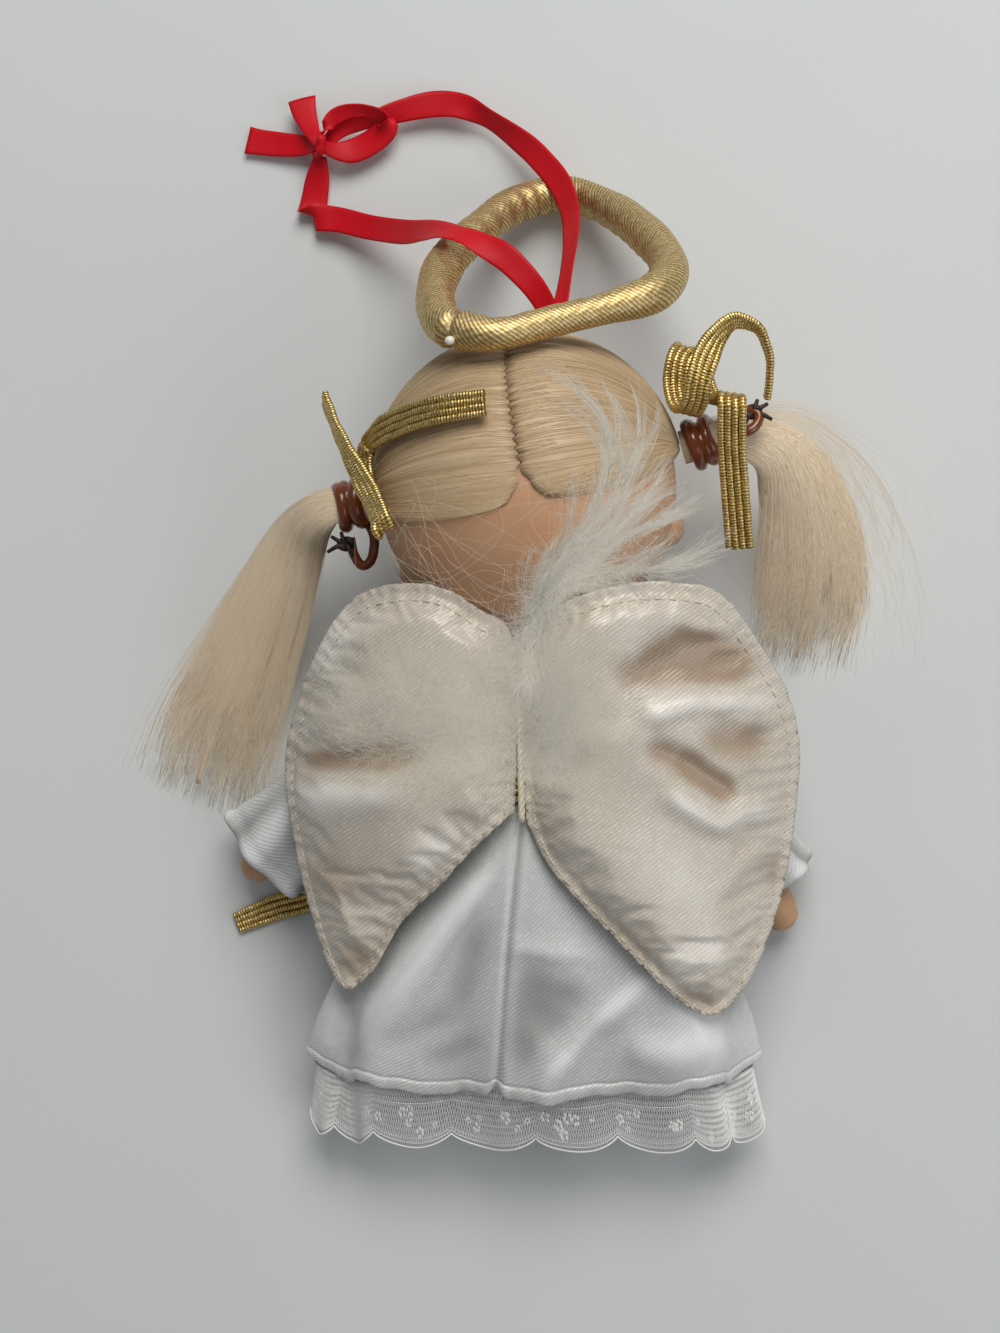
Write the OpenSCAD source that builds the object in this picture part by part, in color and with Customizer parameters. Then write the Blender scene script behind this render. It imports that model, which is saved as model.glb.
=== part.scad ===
// Hanging angel doll ornament, lying face down, drawn in millimetres.
// X runs to the right in the photograph, Y from hem to halo, Z up from the table, out of the doll's back.

/* [Whole doll] */
// Slope of the spine above the table, in degrees
lie_pitch = 9; // [7:0.5:11]
// Gap left between cloth pieces that lie on each other
cloth_gap = 0.35; // [0.3:0.05:0.5]
// Thickness of the satin with its lining
cloth_t = 0.7; // [0.6:0.05:0.9]
// Radial clearance of each snap plug in its bore
plug_clear = 0.05; // [0.03:0.01:0.08]

/* [Head and hair] */
// Radius of the bare vinyl head
head_r = 18.2; // [17.2:0.1:19.2]
// Wall of the hollow head
head_wall = 1.6; // [1.3:0.1:1.9]
// Thickness of the combed hair
hair_t = 1.2; // [1:0.1:1.4]
// Width of the bare parting
part_w = 0.8; // [0.5:0.1:1.2]
// Sideways lean of the head, in degrees
head_roll = 9; // [6:1:12]
// Rise of the two hair bands above the middle of the head, in degrees
band_rise = 5; // [3:1:8]
// Radius of the hair where a band binds it
bind_r = 2.2; // [1.9:0.1:2.5]
// Thickness of the rubber thread of a band
band_d = 0.7; // [0.6:0.05:0.8]
// Turns of the rubber thread
band_turns = 3; // [2:1:4]

/* [Halo and hanger] */
// Outer radius of the stuffed halo tube
halo_tube_r = 2.35; // [2.1:0.05:2.6]
// Thickness of the gold cover
halo_skin = 0.7; // [0.5:0.05:0.9]
// Width of the halo from tube middle to tube middle
halo_w = 28.2; // [27:0.2:30]
// Length of the halo from tube middle to tube middle
halo_len = 38.26; // [37.26:0.2:40.26]
// Space between the halo and the hair where it is glued to the crown
halo_gap = 0.3; // [0.2:0.05:0.6]
// Width of the red ribbon
ribbon_w = 3.2; // [2.8:0.1:3.6]
// Thickness of the red ribbon
ribbon_t = 0.35; // [0.3:0.05:0.45]
// Width of the flat gold braid
braid_w = 3.4; // [3:0.1:3.8]
// Thickness of the flat gold braid
braid_t = 0.7; // [0.6:0.05:0.8]

/* [Body and limbs] */
// Radius of the chest
chest_r = 8; // [7.7:0.1:8.4]
// Wall of the hollow body
body_wall = 1.2; // [1:0.1:1.4]
// Radius of the neck post
neck_r = 3.4; // [3.1:0.1:3.7]
// Radius of the arm and leg plugs
plug_r = 1.9; // [1.7:0.1:2.1]
// Length of an arm from shoulder to finger tips
arm_len = 36; // [34:0.5:38]
// Spread of the left arm from the side, in degrees
arm_left_spread = 48; // [44:1:52]
// Spread of the right arm from the side, in degrees
arm_right_spread = 32; // [30:1:36]
// Forward lean of both arms, in degrees
arm_lean = 12; // [11:1:13]
// Length of a leg from hip to sole
leg_len = 22; // [20:0.5:24]

/* [Gown] */
// Distance from the neck to the waist seam
waist_y = 18.6; // [18:0.2:19.4]
// Distance from the neck to the hem in the middle of the back
hem_y = 56; // [54:0.5:58]
// Width of the gown across the hem
hem_w = 58; // [54:1:62]
// Height of the back folds of the gown at the hem
hem_back = 7; // [6:0.25:8]
// Depth of the folds at the hem
fold_depth = 1.2; // [0.6:0.1:1.8]
// Folds round the gown
fold_count = 8; // [7:1:9]
// Length of the lace below the hem
lace_drop = 5.6; // [4.5:0.1:6.5]
// Depth of one lace scallop
scallop = 1.6; // [1:0.1:2]
// Scallops round the lace
scallop_count = 20; // [16:2:24]
// Width of a sleeve at its cuff
cuff_w = 13; // [11.5:0.5:14.5]

/* [Wings and feather] */
// Reach of a wing from the middle of the back
wing_w = 33; // [31:0.5:35]
// Thickest part of the wing padding
wing_t = 2.4; // [2:0.1:2.8]
// Droop of a wing at its outer edge
wing_droop = 12.5; // [11.5:0.25:13.5]
// Length of the cord that ties the wings
tie_len = 16; // [14:0.5:17]
// Thickness of the tie cord
tie_d = 0.9; // [0.7:0.05:1.1]
// Thickness of the feather plume
plume_t = 0.9; // [0.7:0.1:1.1]

/* [Hidden] */
$fn = 96;

// Places shared by several pieces
hair_r = head_r + hair_t;
head_up = head_r + 0.3;
neck_x = 4.83;
neck_y = 0.89;
neck_z = hair_r + 0.05 - head_up * sin(lie_pitch) - 0.2;
head_y = neck_y + head_up * cos(lie_pitch);
head_z = neck_z + head_up * sin(lie_pitch);
head_k = hair_r / 19.4;
shoulder_y = -7.5;
shoulder_x = chest_r + 4.6;
neck_top = head_wall + 1.2;
hip_y = -26;
hip_x = 6.2;
bodice_in = chest_r + cloth_gap;
bodice_out = bodice_in + 0.6;
sash_in = bodice_out + cloth_gap;
sash_out = sash_in + 0.6;
sash_w = 3.4;
sash_y = waist_y - sash_w / 2 + 0.1;
root_x = 1;
root_z = sash_out + 0.45;
tie_y = -12.6;

// Plain helpers
function unit(v) = v / norm(v);
function xyz(v) = [v[0], v[1], v[2]];
function mean(r) = [for (k = [0 : 2]) [for (p = r) p[k]] * [for (p = r) 1] / len(r)];
function curve(a, b, c, d, t) = 0.5 * (2 * b + (c - a) * t + (2 * a - 5 * b + 4 * c - d) * t * t
    + (3 * b - a - 3 * c + d) * t * t * t);
// Smooth line through rows of numbers, k steps for each stretch
function smooth(p, k) = let (n = len(p)) concat([for (i = [0 : n - 2], j = [0 : k - 1])
    curve(p[max(i - 1, 0)], p[i], p[i + 1], p[min(i + 2, n - 1)], j / k)], [p[n - 1]]);
// Smooth closed line through rows of numbers
function smooth_loop(p, k) = let (n = len(p)) [for (i = [0 : n - 1], j = [0 : k - 1])
    curve(p[(i + n - 1) % n], p[i], p[(i + 1) % n], p[(i + 2) % n], j / k)];
// A point given from the middle of the head, with its height above the table
function by_head(v) = [neck_x + head_k * v[0], head_y + head_k * v[1], head_k * v[2]];
// A point given in the doll's own frame, moved to where the doll lies
function lying(v) = [neck_x + v[0], neck_y + v[1] * cos(lie_pitch) - v[2] * sin(lie_pitch),
    neck_z + v[1] * sin(lie_pitch) + v[2] * cos(lie_pitch)];
// Depth from the spine to the table at a place along the spine
function table_depth(y) = (neck_z + y * sin(lie_pitch)) / cos(lie_pitch) - 0.05;

// Skins over rows of rings
function skin(m, n, wrap) = [for (i = [0 : m - (wrap ? 1 : 2)], j = [0 : n - 1], k = [0, 1])
    let (a = i * n + j, b = i * n + (j + 1) % n, c = ((i + 1) % m) * n + (j + 1) % n, d = ((i + 1) % m) * n + j)
    k == 0 ? [a, d, c] : [a, c, b]];
module loft(rings) {
    m = len(rings);
    n = len(rings[0]);
    polyhedron(points = concat([for (r = rings) each r], [mean(rings[0]), mean(rings[m - 1])]),
        faces = concat(skin(m, n, false), [for (j = [0 : n - 1]) [m * n, j, (j + 1) % n]],
            [for (j = [0 : n - 1]) [m * n + 1, (m - 1) * n + (j + 1) % n, (m - 1) * n + j]]));
}
// Loft of bent flat rings: each end is closed between the outer half and the inner half of its ring
module crescent_loft(rings) {
    m = len(rings);
    n = len(rings[0]);
    e = (m - 1) * n;
    polyhedron(points = [for (r = rings) each r], faces = concat(skin(m, n, false),
        [for (i = [0 : n / 2 - 2]) each [[i, i + 1, n - 2 - i], [i, n - 2 - i, n - 1 - i]]],
        [for (i = [0 : n / 2 - 2]) each [[e + i, e + n - 2 - i, e + i + 1], [e + i, e + n - 1 - i, e + n - 2 - i]]]));
}
module shell_loft(rings) {
    m = len(rings);
    n = len(rings[0]);
    polyhedron(points = [for (r = rings) each r], faces = skin(m, n, true));
}

// Flat strip: each row is a point, the direction across the strip and a share of the width
function heading(rows, i) = unit(xyz(rows[min(i + 1, len(rows) - 1)]) - xyz(rows[max(i - 1, 0)]));
function strip_rings(rows, w, t) = [for (i = [0 : len(rows) - 1])
    let (p = xyz(rows[i]), d = heading(rows, i), s = [rows[i][3], rows[i][4], rows[i][5]],
        a = unit(s - d * (s * d)) * w * rows[i][6] / 2, n = cross(d, unit(a)) * t / 2)
    [p + a - n, p + a + n, p - a + n, p - a - n]];
// Round bundle: each row is a point with its half width and half height
function bundle_rings(rows, sides, lobes, lobe) = [for (i = [0 : len(rows) - 1])
    let (p = xyz(rows[i]), d = heading(rows, i), s = unit(cross(d, [0, 0, 1])), u = cross(d, s))
    [for (j = [0 : sides - 1]) let (a = 360 * j / sides, f = 1 + lobe * cos(lobes * a))
        p + s * rows[i][3] * f * cos(a) + u * rows[i][4] * f * sin(a)]];

// Placing
module lie() {
    translate([neck_x, neck_y, neck_z]) rotate([lie_pitch, 0, 0]) children();
}
module on_head() {
    lie() translate([0, head_up, 0]) rotate([0, 0, head_roll]) children();
}
module along_y(h, r1, r2) {
    rotate([-90, 0, 0]) cylinder(h = h, r1 = r1, r2 = r2);
}

// Torso
function body_line(in) = [[neck_r - in, 1.2], [neck_r - in, -1.4], [chest_r - in, -4 - in * 0.4],
    [chest_r - in, -13], [chest_r - 0.4 - in, -17], [chest_r + 0.4 - in, -22], [chest_r - 0.6 - in, -27],
    [3.6 - in, -30.4 + in]];
module torso() {
    color("#e9b796") lie() difference() {
        rotate([-90, 0, 0]) rotate_extrude()
            polygon(concat([[0, neck_top + 1.1], [neck_r + 1.2, neck_top + 1.1], [neck_r + 1.2, neck_top], [neck_r, neck_top]],
                body_line(0), [[0, -30.4]]));
        rotate([-90, 0, 0]) rotate_extrude()
            polygon(concat([[0, -4.6]], [for (p = body_line(body_wall)) if (p[1] < -4) p], [[0, -30.4 + body_wall]]));
        for (s = [-1, 1]) {
            translate([s * 4, shoulder_y, 0]) rotate([0, s * 90, 0]) cylinder(h = 8, r = plug_r + plug_clear);
            translate([s * 2.9, hip_y, 0]) rotate([0, s * 90, 0]) cylinder(h = 12, r = 5.2);
        }
        translate([-6, hip_y, 0]) rotate([0, 90, 0]) cylinder(h = 12, r = plug_r + plug_clear);
    }
}

// Head
module head() {
    color("#f0bd9c") difference() {
        on_head() difference() {
            union() {
                sphere(r = head_r);
                for (s = [-1, 1]) {
                    translate([s * 6.4, -5.4, 6.6 - head_r]) sphere(r = 5.2);
                    translate([s * (head_r - 2.8), -7.6, -2.4]) sphere(r = 2.6);
                }
                translate([0, -2.6, 1 - head_r]) sphere(r = 1.5);
                translate([0, -10.6, 5.2 - head_r]) sphere(r = 2.6);
            }
            sphere(r = head_r - head_wall);
        }
        lie() translate([0, -2, 0]) along_y(6, neck_r + plug_clear, neck_r + plug_clear);
    }
}

// Combed hair on both sides of the parting, its lower edge sloping from the parting down past the pigtail roots
hairline = 4.4;
hair_slope = 22;
hair_tilt = 12;
hair_edge = [sin(hair_slope) * cos(hair_tilt), cos(hair_slope) * cos(hair_tilt), sin(hair_tilt)];
hair_up = unit([0, hair_edge[1], hair_edge[2]]);
hair_line = cross([1, 0, 0], hair_up);
hair_corner = [part_w / 2, 0, 0] + hair_up * (hair_edge * [-part_w / 2, hairline, 0]) / norm([hair_edge[1], hair_edge[2]]);
hair_fan = 90 + atan2(hair_edge[0], norm([hair_edge[1], hair_edge[2]]));
// Line combed over the head at a turn a from the parting plane, on a sphere of radius r
function combed(a, r, n) = let (k = hair_up * cos(a) + [sin(a), 0, 0], w = cross(hair_line, k), h = w * hair_corner,
    g = sqrt(r * r - h * h), b = 0.97 * acos((hair_corner * k) / g))
    [for (i = [0 : n - 1]) let (t = b * (2 * i / (n - 1) - 1)) w * h + g * (k * cos(t) + hair_line * sin(t))];
function combed_ring(a) = let (low = combed(a, head_r + 0.2, 14))
    concat(combed(a, hair_r, 14), [for (i = [13 : -1 : 0]) low[i]]);
module hair_side(s) {
    on_head() mirror([s > 0 ? 0 : 1, 0, 0]) crescent_loft([for (i = [0 : 11]) combed_ring(hair_fan * i / 11)]);
}
module hair_left() {
    color("#e3b45a") hair_side(-1);
}
module hair_right() {
    color("#e3b45a") hair_side(1);
}

// Directions of the bands from the middle of the head, seen from above the table
function band_way(s) = let (a = head_roll + s * band_rise) [s * cos(a), s * sin(a), 0];
function on_band(s, r) = [neck_x, head_y, head_z] + band_way(s) * r;
band_far = hair_r + 0.1;
band_len = band_turns * (band_d + 0.5);

// Pigtails lying on the table
module pigtail_left() {
    color("#dba94d") loft(bundle_rings(smooth(concat(
        [for (t = [0, 3, band_len + 2.4]) concat(on_band(-1, band_far + t), [bind_r, bind_r])],
        [concat(by_head([-29.5, -4.6, 14.2]), [3.4, 3.2]), concat(by_head([-34, -12.2, 10.2]), [5, 4]),
            concat(by_head([-39.5, -22.4, 6.6]), [6.6, 3.8]), concat(by_head([-44, -31, 4]), [7.4, 2.8]),
            concat(by_head([-46, -36, 2.2]), [5.4, 1.2])]), 4), 16, 5, 0.06));
}
module pigtail_right() {
    color("#dba94d") loft(bundle_rings(smooth(concat(
        [for (t = [0, 3, band_len + 1.6]) concat(on_band(1, band_far + t), [bind_r, bind_r])],
        [concat(by_head([29.8, 5, 15.6]), [3.6, 3.2]), concat(by_head([32.8, 0.8, 12]), [5.4, 4]),
            concat(by_head([34.85, -6, 8.4]), [7, 3.8]), concat(by_head([34.63, -13.6, 5]), [7.3, 3]),
            concat(by_head([32.4, -20, 2.4]), [5, 1.2])]), 4), 16, 5, 0.06));
}

// Rubber bands, each one wound thread
band_r = bind_r * 1.06 + 0.16 + band_d / 2;
band_pitch = band_d + 0.5;
function wound(r, pitch, turns, per) = [for (i = [0 : turns * per]) let (a = 360 * i / per)
    [r * cos(a), r * sin(a), pitch * i / per]];
function wound_rings(r, pitch, turns, per, tube, sides) = [for (i = [0 : turns * per])
    let (a = 360 * i / per, n = [cos(a), sin(a), 0], d = unit([-r * sin(a), r * cos(a), pitch / 2 / PI]), b = cross(d, n))
    [for (j = [0 : sides - 1]) let (f = 360 * j / sides) r * n + [0, 0, pitch * i / per] + tube * (cos(f) * n + sin(f) * b)]];
band_line = wound(band_r, band_pitch, band_turns, 24);
band_least = min([for (i = [0 : len(band_line) - 1], j = [i + 12 : 1 : len(band_line) - 1])
    norm(band_line[i] - band_line[j]) - band_d]);
echo(least_gap_of_a_band_to_itself = band_least);
module band(s) {
    w = head_roll + s * band_rise + (s > 0 ? 0 : 180);
    translate(on_band(s, band_far + 0.8)) rotate([0, 0, w]) rotate([0, 90, 0])
        loft(wound_rings(band_r, band_pitch, band_turns, 24, band_d / 2, 6));
}
module band_left() {
    color("#8a4a18") band(-1);
}
module band_right() {
    color("#8a4a18") band(1);
}

// Bows of gold braid beside the bands
function headed(rows) = [for (r = rows) concat(by_head(r), [r[3], r[4], r[5], r[6]])];
module gold_bow_left() {
    color("#c9a04a") loft(strip_rings(smooth(headed([[-2.4, 7.5, 38.8, 0.1, 1, 0, 0.9], [-9, 6.9, 37.2, 0.1, 1, 0, 1], [-14.9, 5.9, 32.8, 0.1, 1, 0.2, 1],
        [-17.6, 4.6, 29.6, 0.35, 0.8, 0.5, 0.8], [-18.5, 2.4, 28.4, 0.6, 0.5, 0.6, 0.9], [-18.1, -0.3, 28.8, 0.6, 0.5, 0.62, 0.9],
        [-16.9, -3.1, 30.3, 0.55, 0.5, 0.65, 0.9], [-15.9, -5.1, 31.8, 0.55, 0.5, 0.65, 0.9], [-15.2, -6.1, 33.1, 0.55, 0.5, 0.65, 0.9],
        [-15.4, -5.1, 33.7, 0.55, 0.5, 0.65, 0.9], [-16.5, -2.9, 32.4, 0.55, 0.5, 0.65, 1], [-18.2, -0.1, 31.2, 0.6, 0.45, 0.62, 1],
        [-20.1, 3.2, 30.2, 0.7, 0.4, 0.6, 0.9], [-22, 6.7, 28.4, 0.6, 0.3, 0.7, 0.9], [-23.8, 10.6, 26.4, 0.6, 0.3, 0.7, 0.9]]), 3),
        braid_w, braid_t));
}
module gold_bow_right() {
    color("#c9a04a") loft(strip_rings(smooth(headed([[29.3, 10.2, 21.6, 0.3, 0.2, 0.93, 1], [29.7, 12.8, 22.6, 0.3, 0.1, 0.93, 1], [29.5, 15.6, 23.8, 0.3, 0.2, 0.93, 1],
        [28.3, 17.9, 25, 0.2, 0.5, 0.84, 1], [25.9, 18.7, 26, -0.2, 0.6, 0.75, 1], [23.9, 17, 27.2, -0.6, 0.2, 0.75, 1],
        [22.5, 14.4, 28, -0.85, 0.1, 0.5, 1], [21.5, 11.4, 28, -0.87, 0, 0.5, 1], [20.9, 9, 26.8, -0.87, 0.1, 0.5, 1],
        [20, 8.2, 24.8, -0.87, 0.1, 0.5, 1], [19, 9.4, 23.4, -0.87, 0.1, 0.5, 1], [18.5, 11.9, 23, -0.87, 0.1, 0.5, 1],
        [18.9, 14.7, 23.2, -0.87, 0.1, 0.5, 1], [19.7, 16.2, 22, -0.87, 0.1, 0.5, 0.9], [20.5, 15.8, 20.4, -0.9, 0.1, 0.4, 0.9],
        [21.2, 13.6, 19.8, -0.95, 0.2, 0.2, 0.9], [22, 11.2, 20.6, -1, 0.3, 0.1, 0.9], [23, 9.7, 22.4, -1, 0.3, 0, 0.9],
        [24.4, 9.4, 24.6, -1, 0.3, 0, 0.9], [25.2, 9.7, 26.8, -1, 0.2, 0, 0.9], [25.4, 8.4, 28.6, -1, 0.1, -0.1, 1],
        [25.3, 4.3, 27.2, -1, 0, -0.2, 1], [25.5, -0.2, 25.4, -1, 0, -0.2, 1], [26, -8, 22.6, -1, -0.1, -0.2, 1]]), 3),
        braid_w, braid_t));
}

// Halo: a tube of gold cloth bent into a rounded three-sided ring in one leaning plane, open at its seam.
// Its plane touches a sphere round the head at the crown, and its far end lies on the table
halo_hold = hair_r + halo_tube_r + halo_gap;
halo_tilt = asin((head_z - halo_tube_r - 0.05) / norm([halo_len, halo_hold])) + atan2(halo_hold, halo_len);
halo_near = [neck_x + 2 * head_k, head_y + halo_hold * sin(halo_tilt), head_z + halo_hold * cos(halo_tilt)];
halo_line = [[-8.6, -0.6], [-3.6, -2], [2.3, 0.9], [9.4, 4.6], [14.3, 8.2], [15.7, 14.5], [13.5, 22.5], [7.8, 32.9], [0.8, 39.1],
    [-5.4, 36.1], [-9.6, 27.7], [-12.3, 18.7], [-12.5, 9.4], [-11, 2.5], [-9.4, -0.1]];
halo_path = smooth([for (p = halo_line) [p[0] * halo_w / 28.2, p[1] * halo_len / 39.2, 0]], 3);
function halo_rings(r, sides) = bundle_rings([for (p = halo_path) concat(p, [r, r])], sides, 1, 0);
module in_halo_plane() {
    translate(halo_near) rotate([-halo_tilt, 0, 0]) children();
}
module halo_cover() {
    inside = halo_rings(halo_tube_r - halo_skin, 12);
    color("#d8b264") in_halo_plane() shell_loft(concat(halo_rings(halo_tube_r, 12),
        [for (i = [len(inside) - 1 : -1 : 0]) inside[i]]));
}
module halo_core() {
    color("#e8e2d0") in_halo_plane() loft(halo_rings(halo_tube_r - halo_skin - 0.15, 8));
}

// Red hanging ribbon: from the knot down to the crown, round the stitch there and back to the knot
module hanger_ribbon() {
    color("#b3161f") loft(strip_rings(smooth(headed([[-29.8, 46.9, 2, 1, -0.1, 0, 0.5], [-30.6, 44.2, 1.2, 1, -0.1, 0, 1], [-30.8, 40.8, 1, 1, 0.3, 0, 1],
        [-28.4, 38.4, 1.6, 0.6, 0.8, 0, 1], [-22.7, 36.4, 4, 0.3, 0.95, 0, 1], [-17.2, 34.5, 9, 0.3, 0.95, 0, 1],
        [-13.1, 33.4, 15.4, 0.3, 0.8, -0.4, 1], [-9.8, 32, 20.4, 0.35, 0.62, -0.7, 1], [-7, 30.9, 22, 0.4, 0.65, -0.6, 1],
        [-4.6, 29.5, 22.4, 0.5, 0.75, -0.3, 1], [-2, 27.8, 22.6, 0.6, 0.8, 0.1, 1], [1, 24.6, 22.4, 0.8, 0.5, 0.1, 0.9],
        [2.6, 22, 21.2, 1, 0.2, 0, 0.8], [3, 20.3, 19.9, 1, 0, 0, 0.8], [3.2, 19.9, 19, 1, 0, 0, 0.8],
        [3.4, 20.6, 18.1, 1, 0, 0.1, 0.8], [4, 23.6, 17.4, 0.9, 0, 0.3, 0.8], [4.5, 28, 15.6, 0.8, 0, 0.6, 0.9],
        [4.7, 32.4, 12.6, 0.8, 0, 0.6, 1], [4.2, 36.8, 8.8, 0.9, 0.1, 0.3, 1], [2.6, 41.2, 6.3, 0.9, 0.4, 0, 1],
        [0.1, 44.6, 5, 0.85, 0.5, 0.1, 1], [-2.4, 47.2, 4.2, 0.8, 0.6, 0.1, 1], [-7.2, 51, 3.2, 0.2, 0.1, 1, 1],
        [-13.6, 53.3, 2.2, 0, -1, 0.1, 1], [-18.9, 52.9, 1.9, 0.1, -1, 0, 1], [-23.8, 51.9, 1.8, 0.2, -1, 0, 1],
        [-26.8, 50.7, 2.2, 0.5, -0.9, 0, 0.5]]), 3),
        ribbon_w, ribbon_t));
}
module hanger_knot() {
    color("#b3161f") loft(strip_rings(smooth(headed([[-32.6, 54.6, 2.2, 1, 0.6, 0, 1], [-31, 51.6, 3, 1, 0.6, 0, 0.9],
        [-28.8, 49, 4, 0.8, 0.6, 0, 0.5], [-25, 47.8, 4.4, 0.2, 1, 0.2, 0.9], [-21.4, 47.8, 3.9, 0, 1, 0, 1],
        [-20.2, 47.9, 2.9, 0, 1, 0, 1], [-21.6, 48, 1.9, 0, 1, 0, 1], [-25, 48.2, 1.8, 0.1, 1, 0, 0.9],
        [-28.4, 48.7, 2.6, 0.1, 1, 0, 0.5], [-33, 48.8, 2, 0, 1, 0, 0.9], [-37, 48.6, 1.4, 0, 1, 0, 1],
        [-41, 48.4, 1.2, 0, 1, 0, 1]]), 3), ribbon_w, ribbon_t));
}

// Bodice
module bodice() {
    color("#f4f0e8") lie() difference() {
        rotate([-90, 0, 0]) rotate_extrude()
            polygon([[neck_r + 1.4, -1.8], [bodice_in, -4.2], [bodice_in, -13], [bodice_in, 0.2 - waist_y],
                [bodice_out, 0.2 - waist_y], [bodice_out, -13], [bodice_out, -4], [neck_r + 1.6, -1.2]]);
        for (s = [-1, 1])
            translate([s * 4, shoulder_y, 0]) rotate([0, s * 90, 0]) cylinder(h = 8, r = plug_r + 1);
    }
}

// Gown: ring of cloth at a share s of the way from waist to hem, in from its outer face by in
function gown_y(s) = -waist_y - cloth_gap - s * (hem_y - waist_y - cloth_gap);
function gown_half(s) = bodice_out + (hem_w / 2 - bodice_out) * (1 - pow(max(1 - s, 0), 1.6)) + max(s - 1, 0) * 6;
function gown_back(s) = bodice_out + (hem_back - bodice_out + 7.6) * s - 7.6 * s * s;
function gown_front(s) = min(bodice_out + 8 * s, table_depth(gown_y(s)));
function gown_point(s, a, in, drop) = let (f = fold_depth * pow(min(s, 1), 1.4) * cos(fold_count * a + 25 * s),
    y = gown_y(s) - drop, low = table_depth(y) - max(in, 0))
    [(gown_half(s) + f - in) * cos(a), y, sin(a) >= 0 ? (gown_back(s) + f - in) * sin(a)
        : max((gown_front(s) + f - in) * sin(a), -low)];
function gown_ring(s, in, n) = [for (j = [0 : n - 1]) lying(gown_point(s, 360 * j / n, in, 0))];
gown_steps = [0, 0.06, 0.14, 0.24, 0.36, 0.5, 0.64, 0.78, 0.9, 0.96, 1];
module skirt() {
    color("#f6f3ec") shell_loft(concat([for (s = gown_steps) gown_ring(s, s > 0.95 ? -0.3 : 0, 48)],
        [for (i = [len(gown_steps) - 1 : -1 : 0]) gown_ring(gown_steps[i], cloth_t, 48)]));
}
// Lace: hangs from inside the hem and ends in scallops
lace_in = cloth_t + cloth_gap;
lace_s = 1 + lace_drop / (hem_y - waist_y);
function lace_ring(s, in, n, deep) = [for (j = [0 : n - 1]) let (a = 360 * j / n)
    lying(gown_point(s, a, in, deep * abs(sin(scallop_count * a / 2))))];
module lace_trim() {
    color("#fbfaf6") shell_loft([lace_ring(0.96, lace_in, 100, 0), lace_ring(lace_s, lace_in, 100, scallop),
        lace_ring(lace_s, lace_in + 0.4, 100, scallop), lace_ring(0.96, lace_in + 0.4, 100, 0)]);
}

// Arms with their sleeves, drawn for the right side with a spread angle
function arm_way(spread, lean) = [sin(spread) * cos(lean), -cos(spread) * cos(lean), -sin(lean)];
// Each sleeve row: way along the arm, half width, half height, and the turn towards the armhole
function sleeve_ring(s, spread, r, in, n) = let (d = arm_way(spread + (90 - spread) * r[3], arm_lean * (1 - r[3])),
    m = [s * d[0], d[1], d[2]], u = unit([0, 0, 1] - m * m[2]), e = cross(u, m),
    p = [s * shoulder_x, shoulder_y, 0] + m * r[0])
    [for (j = [0 : n - 1]) let (a = 360 * j / n)
        lying(p + e * (r[1] - in) * cos(a) + u * (r[2] - in) * sin(a) * (sin(a) < 0 ? 0.94 : 1))];
sleeve_rows = [[-3.1, 3.8, 3.9, 1], [-1.5, 4.6, 4.7, 0.6], [1.6, 4.9, 4.9, 0], [6, 5.3, 5.2, 0], [12, 5.6, 5.3, 0],
    [18, 5.9, 5.3, 0], [23, cuff_w * 0.48, 5.2, 0], [27, cuff_w * 0.52, 5, 0], [29.5, cuff_w * 0.56, 4.8, 0]];
module sleeve(s, spread) {
    shell_loft(concat([for (r = sleeve_rows) sleeve_ring(s, spread, r, 0, 24)],
        [for (i = [len(sleeve_rows) - 1 : -1 : 0]) sleeve_ring(s, spread, sleeve_rows[i], cloth_t, 24)]));
}
module sleeve_left() {
    color("#f2eee4") sleeve(-1, arm_left_spread);
}
module sleeve_right() {
    color("#f2eee4") sleeve(1, arm_right_spread);
}
// Outline of an arm from behind the shoulder to the finger tips, as radius and way along the arm
arm_line = concat([for (a = [90 : -15 : -15]) [3.2 * cos(a), 3.2 * sin(a)]], [[2.8, -10], [2.3, 10.5 - arm_len],
    [2.2, 8.5 - arm_len], [2.6, 6.6 - arm_len], [2.75, 4.6 - arm_len], [2.5, 2.6 - arm_len], [1.9, 0.9 - arm_len],
    [1, 0.15 - arm_len], [0, -arm_len]]);
module arm(s, spread) {
    lie() translate([s * shoulder_x, shoulder_y, 0]) {
        rotate([0, -s * 90, 0]) cylinder(h = shoulder_x - 4.9, r = plug_r);
        rotate([0, -s * 90, 0]) translate([0, 0, shoulder_x - 5.9]) cylinder(h = 1, r = plug_r + 0.7);
        rotate([0, 0, s * spread]) rotate([arm_lean, 0, 0]) {
            rotate([-90, 0, 0]) rotate_extrude() polygon(arm_line);
            translate([-s * 2.2, 4.8 - arm_len, -0.6]) sphere(r = 1.2);
        }
    }
}
module arm_left() {
    color("#f0bd9c") arm(-1, arm_left_spread);
}
module arm_right() {
    color("#f0bd9c") arm(1, arm_right_spread);
}

// Legs hidden in the gown
module leg(s) {
    lie() {
        translate([s * 3.2, hip_y, 0]) rotate([0, s * 90, 0]) cylinder(h = 6.4, r = 4.7);
        translate([s * 0.35, hip_y, 0]) rotate([0, s * 90, 0]) cylinder(h = 4, r = plug_r);
        translate([s * hip_x, hip_y, 0]) mirror([0, 1, 0]) along_y(leg_len - 3, 3.3, 2.6);
        translate([s * hip_x, hip_y - leg_len + 2.8, 0]) sphere(r = 2.8);
        translate([s * hip_x, hip_y - leg_len + 2.5, -2.8]) sphere(r = 2.4);
    }
}
module leg_left() {
    color("#f0bd9c") leg(-1);
}
module leg_right() {
    color("#f0bd9c") leg(1);
}

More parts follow.
